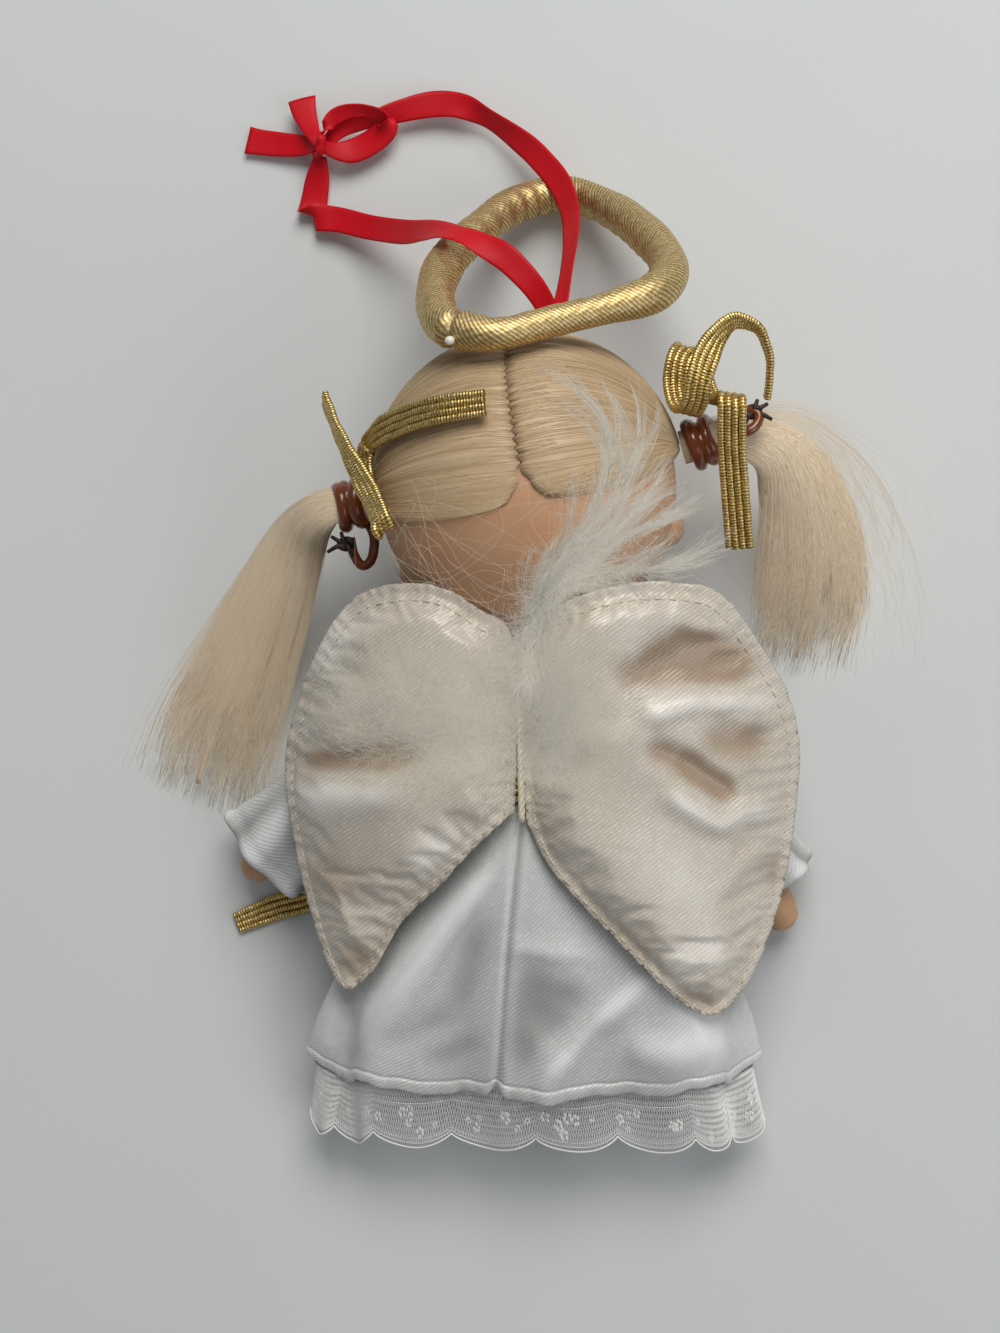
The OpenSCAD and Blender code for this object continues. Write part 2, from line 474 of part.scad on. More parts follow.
// Gold sash round the waist and its bow, whose long tail runs out on the table
module waist_sash() {
    color("#cfa750") lie() rotate([-90, 0, 0]) rotate_extrude()
        polygon([[sash_in, -sash_y - sash_w / 2], [sash_in, -sash_y + sash_w / 2],
            [sash_out, -sash_y + sash_w / 2], [sash_out, -sash_y - sash_w / 2]]);
}
function sashed(rows) = [for (r = rows) let (p = lying([r[0], r[1] - sash_y, -sash_out - r[2]]))
    concat([p[0], p[1], r[2] < 0 ? -r[2] : p[2]], [r[3], r[4], r[5], r[6]])];
module sash_bow() {
    color("#cfa750") loft(strip_rings(smooth(sashed([[-41, -21, -0.6, 0.3, -1, 0, 0.8], [-36, -19, -0.5, 0.4, -1, 0, 1],
        [-30, -17, -0.5, 0.6, -1, 0, 1], [-23, -11.2, -0.7, 0.7, -1, 0, 1], [-14.5, -2.8, 0.9, 0.5, -1, 0, 0.9],
        [-6, -0.2, 0.8, 0.1, -1, 0, 0.9], [0, 0, 0.7, 0, -1, 0, 0.7], [5, 0.2, 0.8, 0, -1, 0, 1],
        [9, 0.1, 1.1, 0, -1, 0, 1], [9.9, 0, 1.5, 0, -1, 0, 1], [8.8, -0.1, 1.9, 0, -1, 0, 1], [5, -0.2, 1.9, 0, -1, 0, 1],
        [0, 0, 1.6, 0, -1, 0, 0.7], [-5, 0.2, 1.9, 0, -1, 0, 1], [-8.8, 0, 2, 0, -1, 0, 1]]), 3), braid_w, 0.5));
}

// Wings: padded satin, pinched at the tie, drooping outwards
wing_line = [[root_x, 9.6], [4, 14], [9, 17.6], [15, 18.6], [21, 17.8], [27, 14.2], [31, 8], [33, 0], [32.5, -8],
    [30.5, -17], [28, -26], [25.6, -31.6], [22.6, -33], [18.5, -29.6], [12, -21.4], [6, -14], [root_x, -9]];
wing_k = (wing_w - root_x) / (33 - 1);
wing_edge = [for (p = smooth_loop(wing_line, 3)) [root_x + max(p[0] - root_x, 0) * wing_k, p[1]]];
wing_mid = [15, -3];
wing_rise = 2.7;
function wing_level(u) = root_z + wing_rise * (1 - exp((root_x - u) / 4)) - wing_droop * pow(u / wing_w, 2);
// Half thickness at a share f of the way to the edge
function wing_half(f, a) = 0.4 + (wing_t / 2 - 0.4) * pow(max(1 - f * f, 0), 0.6) * (0.86 + 0.14 * cos(7 * a));
function wing_ring(f, side) = [for (i = [len(wing_edge) - 1 : -1 : 0]) let (e = wing_edge[i], u = wing_mid[0] + (e[0] - wing_mid[0]) * f,
    v = wing_mid[1] + (e[1] - wing_mid[1]) * f, a = atan2(v - 0, u + 6))
    [u, v + tie_y, wing_level(u) + side * wing_half(f, a)]];
module wing_pad() {
    loft(concat([for (f = [0.15, 0.4, 0.62, 0.8, 0.92, 1]) wing_ring(f, -1)],
        [for (f = [1, 0.92, 0.8, 0.62, 0.4, 0.15]) wing_ring(f, 1)]));
}
module wing_right() {
    color("#efe3cf") lie() wing_pad();
}
module wing_left() {
    color("#efe3cf") lie() mirror([1, 0, 0]) wing_pad();
}
// Cord loop that ties the wings at the middle of the back
tie_high = 0.9;
module wing_tie() {
    color("#e9dcc0") lie() translate([0, tie_y, root_z + 1.15]) rotate([0, 90, 0]) {
        for (s = [-1, 1]) {
            translate([s * tie_high, (tie_len - 2 * tie_high) / 2, 0]) rotate([90, 0, 0])
                cylinder(h = tie_len - 2 * tie_high, r = tie_d / 2, $fn = 24);
            translate([0, s * (tie_len - 2 * tie_high) / 2, 0]) rotate([0, 0, s > 0 ? 0 : 180])
                rotate_extrude(angle = 180) translate([tie_high, 0]) circle(r = tie_d / 2, $fn = 24);
        }
    }
}
// Down lying on each wing
down_mid = [9.5, -1];
function down_ring(f, high) = [for (j = [0 : 27]) let (a = 360 * j / 28, u = down_mid[0] + 7.6 * f * cos(a),
    v = down_mid[1] + 8.4 * f * sin(a)) [u, v + tie_y, wing_level(u) + wing_t / 2 + cloth_gap + high]];
module down_pad() {
    loft([down_ring(0.25, 0), down_ring(0.7, 0), down_ring(1, 0), down_ring(1, 0.25), down_ring(0.75, 0.8), down_ring(0.3, 1.1)]);
}
module down_right() {
    color("#f7f5f0") lie() down_pad();
}
module down_left() {
    color("#f7f5f0") lie() mirror([1, 0, 0]) down_pad();
}
// Plume over the back of the head, each row a point of the doll's frame by polar angle and radius
plume_r = hair_r + 0.5 + plume_t / 2;
function plumed(rows) = [for (r = rows) let (g = sqrt(max(pow(plume_r + r[3], 2) - pow(r[1] - head_up, 2), 9)),
    q = r[2] > 0 ? r[2] : g) lying([q * sin(r[0]), r[1], q * cos(r[0])])];
plume_rows = [[1, -5.4, root_z + 3.2, 0, 1.6], [4, -1.6, root_z + 5, 0, 2.2], [9, 2.6, root_z + 8.2, 0, 3],
    [15, 7.6, 0, 1.6, 4], [20, 13.4, 0, 1, 5], [22, 19, 0, 0.9, 5.2], [21, 24, 0, 0.9, 4.4], [18, 28.4, 0, 0.9, 2.4]];
module feather_plume() {
    p = plumed(plume_rows);
    color("#fbfaf7") loft(strip_rings(smooth([for (i = [0 : len(p) - 1]) let (a = plume_rows[i][0])
        concat(p[i], [cos(a), 0, -sin(a)], [plume_rows[i][4] / 4])], 4), 8, plume_t));
}

torso();
head();
hair_left();
hair_right();
pigtail_left();
pigtail_right();
band_left();
band_right();
gold_bow_left();
gold_bow_right();
halo_cover();
halo_core();
hanger_ribbon();
hanger_knot();
bodice();
skirt();
lace_trim();
sleeve_left();
sleeve_right();
arm_left();
arm_right();
leg_left();
leg_right();
waist_sash();
sash_bow();
wing_left();
wing_right();
wing_tie();
down_left();
down_right();
feather_plume();
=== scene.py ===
"""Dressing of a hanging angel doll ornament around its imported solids."""
import logging
import math
from dataclasses import dataclass
from enum import Enum
from functools import lru_cache
from typing import Callable, Optional, Sequence

import bpy
import numpy as np
from mathutils import Matrix, Vector
from mathutils.bvhtree import BVHTree
from mathutils.geometry import delaunay_2d_cdt


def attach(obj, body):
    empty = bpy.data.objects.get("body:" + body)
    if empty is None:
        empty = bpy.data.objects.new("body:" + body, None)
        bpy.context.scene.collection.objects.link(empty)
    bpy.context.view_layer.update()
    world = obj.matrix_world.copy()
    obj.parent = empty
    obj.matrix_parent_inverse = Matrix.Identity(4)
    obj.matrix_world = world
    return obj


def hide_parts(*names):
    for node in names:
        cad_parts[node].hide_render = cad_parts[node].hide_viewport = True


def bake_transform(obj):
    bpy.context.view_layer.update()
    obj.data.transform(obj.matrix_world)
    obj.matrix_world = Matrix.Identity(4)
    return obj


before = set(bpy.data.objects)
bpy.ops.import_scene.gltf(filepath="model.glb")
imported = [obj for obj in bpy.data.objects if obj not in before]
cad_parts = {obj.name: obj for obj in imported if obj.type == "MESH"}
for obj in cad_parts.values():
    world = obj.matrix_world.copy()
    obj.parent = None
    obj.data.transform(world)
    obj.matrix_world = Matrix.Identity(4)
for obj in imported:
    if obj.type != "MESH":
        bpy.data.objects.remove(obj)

Array = np.ndarray
MeshParts = tuple[Array, list, Array]
Piece = bpy.types.Object
Socket = bpy.types.NodeSocket

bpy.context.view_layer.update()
LOG = logging.getLogger("angel_doll")
MM = 0.001
TAU = 2 * math.pi

# Places of the doll in the shared frame, in millimetres, as in the part's source
NECK = np.array([4.83, 0.89, 16.356])
LIE = math.radians(9)
HEAD_MID = np.array([4.83, 19.162, 19.25])
HEAD_R = 18.2
HEAD_ROLL = math.radians(9)
BAND_RISE = math.radians(5)
TIE_Y = -12.6
SASH_Y = -17.0
WAIST_Y = 18.6
CLOTH_GAP = 0.35
HEM_Y = 56.0
SKIRT_LONG = HEM_Y - WAIST_Y
BODICE_OUT = 8.95
SHOULDER = np.array([12.6, -7.5, 0.0])
# Middle of the head in the doll's own frame, and the direction away from the table
HEAD_OWN = np.array([0.0, 18.5, 0.0])
UP = np.array([0.0, 0.0, 1.0])


class Side(Enum):
    """The two sides of the doll, as signs along X."""

    LEFT = -1
    RIGHT = 1

    @property
    def word(self) -> str:
        """Name of the side as it stands in piece names."""
        return self.name.lower()


class Seed(Enum):
    """Seeds of the random draws, one for each kind of uneven thing."""

    GLUE = 3
    CLOTH = 5
    PIGTAIL = 7
    COMBED = 11
    LACE = 19
    FIBRES = 31
    DOWN = 41
    PLUME = 77
    FLYAWAYS = 91

    def draws(self, side: Optional[Side] = None) -> np.random.Generator:
        """Source of random numbers, with its own run for each side."""
        return np.random.default_rng(self.value + (side.value if side else 0))


class Weave(Enum):
    """Directions of the fine lines that a cloth shows."""

    TWILL = 0.95
    ALONG = 0.0


def linear(code: str) -> tuple[float, float, float, float]:
    """Turn an sRGB hex colour into linear RGBA."""
    parts = [int(code[i:i + 2], 16) / 255 for i in (1, 3, 5)]
    lit = [c / 12.92 if c <= 0.04045 else ((c + 0.055) / 1.055) ** 2.4 for c in parts]
    return (lit[0], lit[1], lit[2], 1.0)


def add(tree: bpy.types.NodeTree, kind: str, links: Optional[dict] = None,
        stops: Sequence[tuple[float, str]] = (), **settings: object) -> bpy.types.Node:
    """Add a node with its settings, values and links.

    Args:
        tree: node tree that takes the node.
        kind: Blender's name of the node type.
        links: input name or index to an output socket or a plain value.
        stops: places and hex colours of a colour ramp.
        settings: attributes of the node itself.

    Returns:
        The new node.
    """
    made = tree.nodes.new(kind)
    for name, value in settings.items():
        setattr(made, name, value)
    for name, value in (links or {}).items():
        if isinstance(value, Socket):
            tree.links.new(value, made.inputs[name])
        else:
            made.inputs[name].default_value = value
    for index, (place, code) in enumerate(stops):
        ramp = made.color_ramp.elements
        stop = ramp[index] if index < 2 else ramp.new(place)
        stop.position = place
        stop.color = linear(code)
    return made


# Lines and frames
def smooth_line(rows: Sequence[Sequence[float]], steps: int, closed: bool = False) -> Array:
    """Smooth line through rows of numbers.

    Args:
        rows: rows that the line passes through.
        steps: new rows for each stretch.
        closed: whether the last row runs on to the first.

    Returns:
        Array of rows along the line.
    """
    p = np.asarray(rows, float)
    n = len(p)
    out = []
    for i in range(n if closed else n - 1):
        if closed:
            a, b, c, d = p[i - 1], p[i], p[(i + 1) % n], p[(i + 2) % n]
        else:
            a, b, c, d = p[max(i - 1, 0)], p[i], p[i + 1], p[min(i + 2, n - 1)]
        for j in range(steps):
            t = j / steps
            out.append(0.5 * (2 * b + (c - a) * t + (2 * a - 5 * b + 4 * c - d) * t * t
                              + (3 * b - a - 3 * c + d) * t ** 3))
    if not closed:
        out.append(p[-1])
    return np.array(out)


def running(line: Array) -> Array:
    """Length along a line up to each of its points."""
    return np.concatenate([[0], np.cumsum(np.linalg.norm(np.diff(line[:, :3], axis=0), axis=1))])


def length_of(line: Array) -> float:
    """Length of a line through its points."""
    return float(running(line)[-1])


def rows_at(rows: Array, at: Array, along: Array) -> Array:
    """Rows of numbers read off at places along their line."""
    return np.stack([np.interp(at, along, column) for column in rows.T], axis=-1)


def spaced_line(line: Array, step: float) -> Array:
    """Rows along a line with even spacing, at about the given step in its first three numbers."""
    along = running(line)
    at = np.linspace(0, along[-1], max(3, int(round(along[-1] / step)) + 1))
    return rows_at(line, at, along)


def unit(v: Array) -> Array:
    """Vectors scaled to length one along the last axis."""
    return v / np.maximum(np.linalg.norm(v, axis=-1, keepdims=True), 1e-9)


def full_turn(count: int) -> Array:
    """Even angles once round."""
    return TAU * np.arange(count) / count


def bell(x: Array, wide: float) -> Array:
    """Soft hump of height one with the given half width."""
    return np.exp(-(x / wide) ** 2)


def share_of(x: Array) -> Array:
    """Numbers held between nought and one."""
    return np.clip(x, 0, 1)


def lying(v: Array) -> Array:
    """Points of the doll's own frame, moved to where the doll lies."""
    x, y, z = np.moveaxis(np.asarray(v, float), -1, 0)
    c, s = math.cos(LIE), math.sin(LIE)
    return np.stack([NECK[0] + x, NECK[1] + y * c - z * s, NECK[2] + y * s + z * c], axis=-1)


def on_head(v: Array) -> Array:
    """Points of the upright head's frame, moved to the rolled and lying head."""
    x, y, z = np.moveaxis(np.asarray(v, float), -1, 0)
    c, s = math.cos(HEAD_ROLL), math.sin(HEAD_ROLL)
    return lying(np.stack([x * c - y * s, x * s + y * c + HEAD_OWN[1], z], axis=-1))


def off_head(p: Array, reach: float) -> Array:
    """Points of the doll's own frame, pushed out of a ball round the head."""
    far = p - HEAD_OWN
    return HEAD_OWN + far * np.maximum(1.0, reach / np.linalg.norm(far, axis=2, keepdims=True))


def by_head(rows: Sequence[Sequence[float]]) -> Array:
    """Rows given from the middle of the head, with heights above the table."""
    p = np.array(rows, float)
    p[:, 0] += HEAD_MID[0]
    p[:, 1] += HEAD_MID[1]
    return p


def band_way(side: Side) -> Array:
    """Direction of a hair band from the middle of the head."""
    a = HEAD_ROLL + side.value * BAND_RISE
    return np.array([side.value * math.cos(a), side.value * math.sin(a), 0.0])


# Meshes
def linked(name: str, data: bpy.types.ID) -> Piece:
    """New object of the scene that shows a mesh, a lamp or a camera."""
    made = bpy.data.objects.new(name, data)
    bpy.context.scene.collection.objects.link(made)
    return made


def build_mesh(name: str, finish: "Finish", points: Array, faces: Sequence[Sequence[int]],
               uv: Optional[Array] = None, fold: Optional[Array] = None) -> Piece:
    """Make a mesh object from points in millimetres.

    Args:
        name: piece name.
        finish: finish whose material it takes.
        points: vertices in millimetres.
        faces: vertex numbers of each face.
        uv: pattern coordinates of each vertex, in millimetres along the cloth.
        fold: how far each vertex stands on a crest (up to 1) or in a hollow (down to -1) of the cloth, where
            the satin finish paints highlight or shade.

    Returns:
        The object, linked to the scene.
    """
    mesh = bpy.data.meshes.new(name)
    mesh.from_pydata((np.asarray(points) * MM).tolist(), [], [list(map(int, f)) for f in faces])
    if uv is not None:
        layer = mesh.uv_layers.new(name="pattern")
        corner = np.zeros(len(mesh.loops), np.int32)
        mesh.loops.foreach_get("vertex_index", corner)
        layer.data.foreach_set("uv", np.asarray(uv, np.float32)[corner].ravel())
    if fold is not None:
        values = np.asarray(fold, np.float32).ravel()
        mesh.attributes.new("fold", "FLOAT", "POINT").data.foreach_set("value", values)
    mesh.polygons.foreach_set("use_smooth", [True] * len(mesh.polygons))
    mesh.materials.append(finish.material())
    mesh.update()
    return linked(name, mesh)


def search_tree(mesh: bpy.types.Mesh) -> BVHTree:
    """Search tree over the faces of a mesh."""
    return BVHTree.FromPolygons([v.co for v in mesh.vertices], [p.vertices for p in mesh.polygons])


def creased(x: Array, y: Array, creases: Sequence[tuple]) -> Array:
    """Rise of soft folds in a cloth.

    Args:
        x: places across.
        y: places along.
        creases: start, end, half width and height of each fold.

    Returns:
        Rise at each place, in millimetres.
    """
    rise = np.zeros(np.shape(x))
    for (ax, ay), (bx, by), wide, high in creases:
        d = np.array([bx - ax, by - ay])
        reach = np.hypot(*d)
        t = ((x - ax) * d[0] + (y - ay) * d[1]) / reach ** 2
        off = ((x - ax) * -d[1] + (y - ay) * d[0]) / reach
        ends = share_of(np.minimum(t + 0.3, 1.3 - t) / 0.6)
        rise = rise + high * ends ** 2 * (3 - 2 * ends) * bell(off, wide)
    return rise


def grid_faces(rows: int, cols: int, wrap_rows: bool = False, wrap_cols: bool = False) -> Array:
    """Quads of a grid whose points are numbered row by row."""
    i, j = np.indices((rows if wrap_rows else rows - 1, cols if wrap_cols else cols - 1)).reshape(2, -1)
    k, m = (i + 1) % rows, (j + 1) % cols
    return np.stack([i * cols + j, i * cols + m, k * cols + m, k * cols + j], axis=1)


def capped_faces(rows: int, cols: int) -> list:
    """Quads of a tube of rings and one face at each end."""
    ends = [list(range(cols))[::-1], list(range((rows - 1) * cols, rows * cols))]
    return [*grid_faces(rows, cols, wrap_cols=True).tolist(), *ends]


def strands_mesh(lines: Array, radii: Array, sides: int = 3) -> MeshParts:
    """Thin closed tubes along many lines at once.

    Args:
        lines: strands by points by XYZ, in millimetres.
        radii: strands by points, or one number.
        sides: sides of each tube.

    Returns:
        Points, faces, and pattern coordinates with the place along the strand and a number for each strand.
    """
    count, n, _ = lines.shape
    radii = np.broadcast_to(np.asarray(radii, float), (count, n))
    way = unit(np.gradient(lines, axis=1))
    ref = np.tile(np.array([0.31, 0.2, 0.93]), (count, 1))
    ref[np.abs((way.mean(axis=1) * ref).sum(1)) > 0.85] = np.array([0.9, -0.4, 0.1])
    a = unit(np.cross(way, ref[:, None, :]))
    b = np.cross(way, a)
    turn = full_turn(sides)
    ring = a[:, :, None, :] * np.cos(turn)[:, None] + b[:, :, None, :] * np.sin(turn)[:, None]
    points = (lines[:, :, None, :] + ring * radii[:, :, None, None]).reshape(-1, 3)
    one = grid_faces(n, sides, wrap_cols=True)
    starts = np.arange(count) * n * sides
    faces = (one[None, :, :] + starts[:, None, None]).reshape(-1, 4).tolist()
    near = np.arange(sides)[::-1]
    far = np.arange(sides) + (n - 1) * sides
    for s in starts:
        faces.append((near + s).tolist())
        faces.append((far + s).tolist())
    along = np.tile(np.repeat(np.linspace(0, 1, n), sides), count)
    own = np.repeat((np.arange(count) * 0.6180339) % 1.0, n * sides)
    return points, faces, np.stack([along, own], axis=1)


def tube_rings(line: Array, sides: int, closed: bool = False) -> Array:
    """Directions from each point of a line to its ring of points, in a frame that doesn't twist."""
    n = len(line)
    way = np.roll(line, -1, axis=0) - np.roll(line, 1, axis=0) if closed else np.gradient(line, axis=0)
    way = unit(way)
    a = np.zeros((n, 3))
    a[0] = unit(np.cross(way[0], np.array([0.1, 0.2, 0.97])))
    for i in range(1, n):
        a[i] = unit(a[i - 1] - way[i] * (a[i - 1] @ way[i]))
    if closed:
        last = unit(a[-1] - way[0] * (a[-1] @ way[0]))
        miss = math.atan2(np.cross(last, a[0]) @ way[0], last @ a[0])
        turn_back = miss * np.arange(n) / n
        a = a * np.cos(turn_back)[:, None] + np.cross(way, a) * np.sin(turn_back)[:, None]
    b = np.cross(way, a)
    turn = full_turn(sides)
    return a[:, None, :] * np.cos(turn)[None, :, None] + b[:, None, :] * np.sin(turn)[None, :, None]


def tube_mesh(line: Array, radius: Array, sides: int, closed: bool = False) -> MeshParts:
    """Tube along one line.

    Args:
        line: points in millimetres.
        radius: radius as a number, an array by point, or an array by point and side.
        sides: sides of the tube.
        closed: whether the tube runs on into its start.

    Returns:
        Points, faces and pattern coordinates in millimetres.
    """
    n = len(line)
    radius = np.asarray(radius, float)
    if radius.ndim == 1:
        radius = radius[:, None]
    spread = tube_rings(line, sides, closed) * np.broadcast_to(radius, (n, sides))[:, :, None]
    points = (line[:, None, :] + spread).reshape(-1, 3)
    faces = grid_faces(n, sides, True, True).tolist() if closed else capped_faces(n, sides)
    around = full_turn(sides) * float(np.mean(radius))
    return points, faces, np.stack([np.tile(around, n), np.repeat(running(line), sides)], axis=1)


def strip_mesh(line: Array, across: Array, width: Array, thick: float, cols: int = 8,
               camber: float = 0.0) -> MeshParts:
    """Closed flat strip with rounded edges.

    Args:
        line: points in millimetres.
        across: direction across the strip at each point.
        width: width at each point.
        thick: thickness.
        cols: points across each face.
        camber: how far the middle stands out, in millimetres.

    Returns:
        Points, faces and pattern coordinates in millimetres.
    """
    n = len(line)
    way = unit(np.gradient(line, axis=0))
    side = unit(across - way * (across * way).sum(1)[:, None])
    face = np.cross(way, side)
    t = np.linspace(-1, 1, cols)
    edge = np.sqrt(np.maximum(1 - t ** 4, 0.12))
    loop_t = np.concatenate([t, t[::-1]])
    loop_h = np.concatenate([edge, -edge[::-1]]) * thick / 2 + camber * (1 - loop_t ** 2)
    points = (line[:, None, :] + side[:, None, :] * (loop_t[None, :, None] * width[:, None, None] / 2)
              + face[:, None, :] * loop_h[None, :, None]).reshape(-1, 3)
    k = 2 * cols
    uv = np.stack([np.outer(width / 2, loop_t).ravel(), np.repeat(running(line), k)], axis=1)
    return points, capped_faces(n, k), uv


def joined(parts: Sequence[tuple]) -> MeshParts:
    """Several sets of points, faces and pattern coordinates as one."""
    points, faces, uvs, at = [], [], [], 0
    for p, f, uv in parts:
        points.append(p)
        uvs.append(uv)
        faces.extend([[v + at for v in face] for face in f])
        at += len(p)
    return np.concatenate(points), faces, np.concatenate(uvs)


def shell_mesh(outer: Array, inner: Array) -> tuple[Array, list]:
    """Closed shell between two grids of rings, joined at both rims."""
    rows, cols, _ = outer.shape
    points = np.concatenate([outer, inner[::-1]]).reshape(-1, 3)
    return points, grid_faces(2 * rows, cols, wrap_rows=True, wrap_cols=True).tolist()


# Finishes
class Paint:
    """Node tree of one finish, with short ways to the kinds of node that the patterns share."""

    def __init__(self, tree: bpy.types.NodeTree, shader: bpy.types.Node) -> None:
        """Keep the tree and the shader that the pattern feeds."""
        self.tree = tree
        self.shader = shader

    def feed(self, name: str, source: Socket) -> None:
        """Lead a socket into one of the shader's inputs."""
        self.tree.links.new(source, self.shader.inputs[name])

    def place(self) -> Socket:
        """Coordinates of the piece in space, in metres."""
        return add(self.tree, "ShaderNodeTexCoord").outputs["Object"]

    def cloth(self, **change: tuple) -> Socket:
        """Coordinates of the flat pattern in millimetres, turned or stretched on request."""
        flat = add(self.tree, "ShaderNodeUVMap", uv_map="pattern").outputs["UV"]
        return add(self.tree, "ShaderNodeMapping", {"Vector": flat, **change}).outputs[0] if change else flat

    def noise(self, vector: Socket, grain: float, detail: float, roughness: float = 0.5) -> Socket:
        """Soft noise with grains of the given size."""
        links = {"Vector": vector, "Scale": 1 / grain, "Detail": detail, "Roughness": roughness}
        return add(self.tree, "ShaderNodeTexNoise", links).outputs["Fac"]

    def bands(self, vector: Socket, pitch: float, wander: float, detail: float, fine: float) -> Socket:
        """Parallel lines at a pitch, a little uneven."""
        links = {"Vector": vector, "Scale": 0.314 / pitch, "Distortion": wander, "Detail": detail,
                 "Detail Scale": fine}
        made = add(self.tree, "ShaderNodeTexWave", links, wave_type="BANDS", bands_direction="X")
        return made.outputs["Fac"]

    def ranged(self, value: Socket, low_high: tuple[float, float], out: tuple[float, float],
               kind: str = "LINEAR") -> Socket:
        """Value carried over from one range to another."""
        links = {"Value": value, "From Min": low_high[0], "From Max": low_high[1], "To Min": out[0],
                 "To Max": out[1]}
        return add(self.tree, "ShaderNodeMapRange", links, interpolation_type=kind).outputs[0]

    def maths(self, operation: str, *values: object) -> Socket:
        """One sum of sockets or plain numbers."""
        return add(self.tree, "ShaderNodeMath", dict(enumerate(values)), operation=operation).outputs[0]

    def mixed(self, share: Socket, first: object, second: object) -> Socket:
        """Colour between two colours."""
        return add(self.tree, "ShaderNodeMix", {0: share, 6: first, 7: second}, data_type="RGBA").outputs[2]

    def ramp(self, value: Socket, *stops: tuple[float, str]) -> Socket:
        """Colour read off a ramp of hex colours."""
        return add(self.tree, "ShaderNodeValToRGB", {0: value}, stops=stops).outputs[0]

    def bump(self, height: Socket, strength: float, depth: float, invert: bool = False) -> None:
        """Relief of a depth in millimetres."""
        links = {"Height": height, "Strength": strength, "Distance": depth * MM}
        self.feed("Normal", add(self.tree, "ShaderNodeBump", links, invert=invert).outputs[0])


@dataclass(frozen=True)
class Finish:
    """A plain surface: one shader whose constants stand on its own sockets."""

    name: str
    colour: str
    roughness: float = 0.5
    metallic: float = 0.0
    sheen: float = 0.0
    coat: float = 0.0
    subsurface: float = 0.0
    specular: float = 0.5
    mottle: float = 4.0
    fade: float = 0.86

    def material(self) -> bpy.types.Material:
        """The material of this finish, made once."""
        found = bpy.data.materials.get(self.name)
        if found is None:
            found = bpy.data.materials.new(self.name)
            found.use_nodes = True
            tree = found.node_tree
            tree.nodes.clear()
            links = {"Base Color": linear(self.colour), "Roughness": self.roughness,
                     "Metallic": self.metallic, "Sheen Weight": self.sheen, "Coat Weight": self.coat,
                     "Specular IOR Level": self.specular}
            if self.subsurface:
                links["Subsurface Weight"] = self.subsurface
                links["Subsurface Radius"] = (0.6 * MM, 0.3 * MM, 0.2 * MM)
                links["Subsurface Scale"] = 1.0
            shader = add(tree, "ShaderNodeBsdfPrincipled", links)
            add(tree, "ShaderNodeOutputMaterial", {"Surface": shader.outputs["BSDF"]})
            self.pattern(Paint(tree, shader))
        return found

    def pattern(self, paint: Paint) -> None:
        """Colour and bump pattern of the surface: faint mottling."""
        own = linear(self.colour)
        faded = tuple(c * self.fade for c in own[:3]) + (1.0,)
        paint.feed("Base Color", paint.mixed(paint.noise(paint.place(), self.mottle * MM, 4.0), own, faded))


@dataclass(frozen=True)
class Satin(Finish):
    """Woven satin: long floats give a soft broad shine, fine lines show between the threads, and the shade
    and highlight of its folds are painted into its colour.
    """

    # Colours of the painted shade in the hollows and of the painted highlight on the crests and glints
    shade: str = "#b9b4aa"
    crest: str = "#f2f2ee"
    thread: float = 0.44
    weave: Weave = Weave.TWILL
    # Grain of the cloud that shifts the painted shade and highlight, then the strengths of the painted shade,
    # the painted highlight, the painted glints and the painted shade in the thread lines
    cloud: float = 11.0
    shade_depth: float = 0.5
    glow: float = 0.7
    spark: float = 0.55
    lines: float = 0.3
    aniso: float = 0.55
    relief: float = 0.5

    def pattern(self, paint: Paint) -> None:
        """Thread lines in bump and colour, painted shade in the hollows, painted highlight on the crests, a
        faint cloud that shifts both, and painted glints.
        """
        place = paint.place()
        fold = add(paint.tree, "ShaderNodeAttribute", attribute_name="fold").outputs["Fac"]
        # The floats of satin are finer than a pixel; the lines are drawn at the pitch that the eye picks up
        lines = paint.bands(paint.cloth(Rotation=(0.0, 0.0, self.weave.value)), self.thread, 2.4, 3.0, 0.8)
        cloud = paint.noise(place, self.cloud * MM, 3.0, 0.45)
        # How far the cloth lies on a crest or in a hollow, shifted by the cloud: shade is painted into the
        # hollows and highlight onto the crests
        level = paint.maths("ADD", fold, paint.ranged(cloud, (0.3, 0.7), (0.25, -0.25)))
        hollow = paint.ranged(level, (0.0, -1.0), (0.0, self.shade_depth), "SMOOTHSTEP")
        crest = paint.ranged(level, (0.0, 1.0), (0.0, self.glow), "SMOOTHSTEP")
        tint = paint.mixed(hollow, linear(self.colour), linear(self.shade))
        tint = paint.mixed(crest, tint, linear(self.crest))
        # Painted shade in the grooves between the floats, laid in patches, so the lines come and go
        caught = paint.maths("MULTIPLY", lines, paint.noise(place, 1.6 * MM, 3.0, 0.6))
        tint = paint.mixed(paint.ranged(caught, (0.15, 0.6), (0.0, self.lines)), tint, linear(self.shade))
        # Painted glints on the raised floats, dimmed in the painted hollows
        top = paint.maths("SUBTRACT", 1.0, lines)
        flash = paint.maths("MULTIPLY", top, paint.noise(place, 0.6 * MM, 2.0))
        spark = paint.ranged(flash, (0.4, 0.62), (0.0, self.spark))
        dim = paint.ranged(level, (-0.8, 0.2), (0.15, 1.0))
        tint = paint.mixed(paint.maths("MULTIPLY", spark, dim), tint, linear(self.crest))
        paint.feed("Base Color", tint)
        paint.bump(lines, self.relief, 0.06, invert=True)
        paint.shader.inputs["Anisotropic"].default_value = self.aniso
        tangent = add(paint.tree, "ShaderNodeTangent", direction_type="UV_MAP", uv_map="pattern")
        paint.feed("Tangent", tangent.outputs[0])


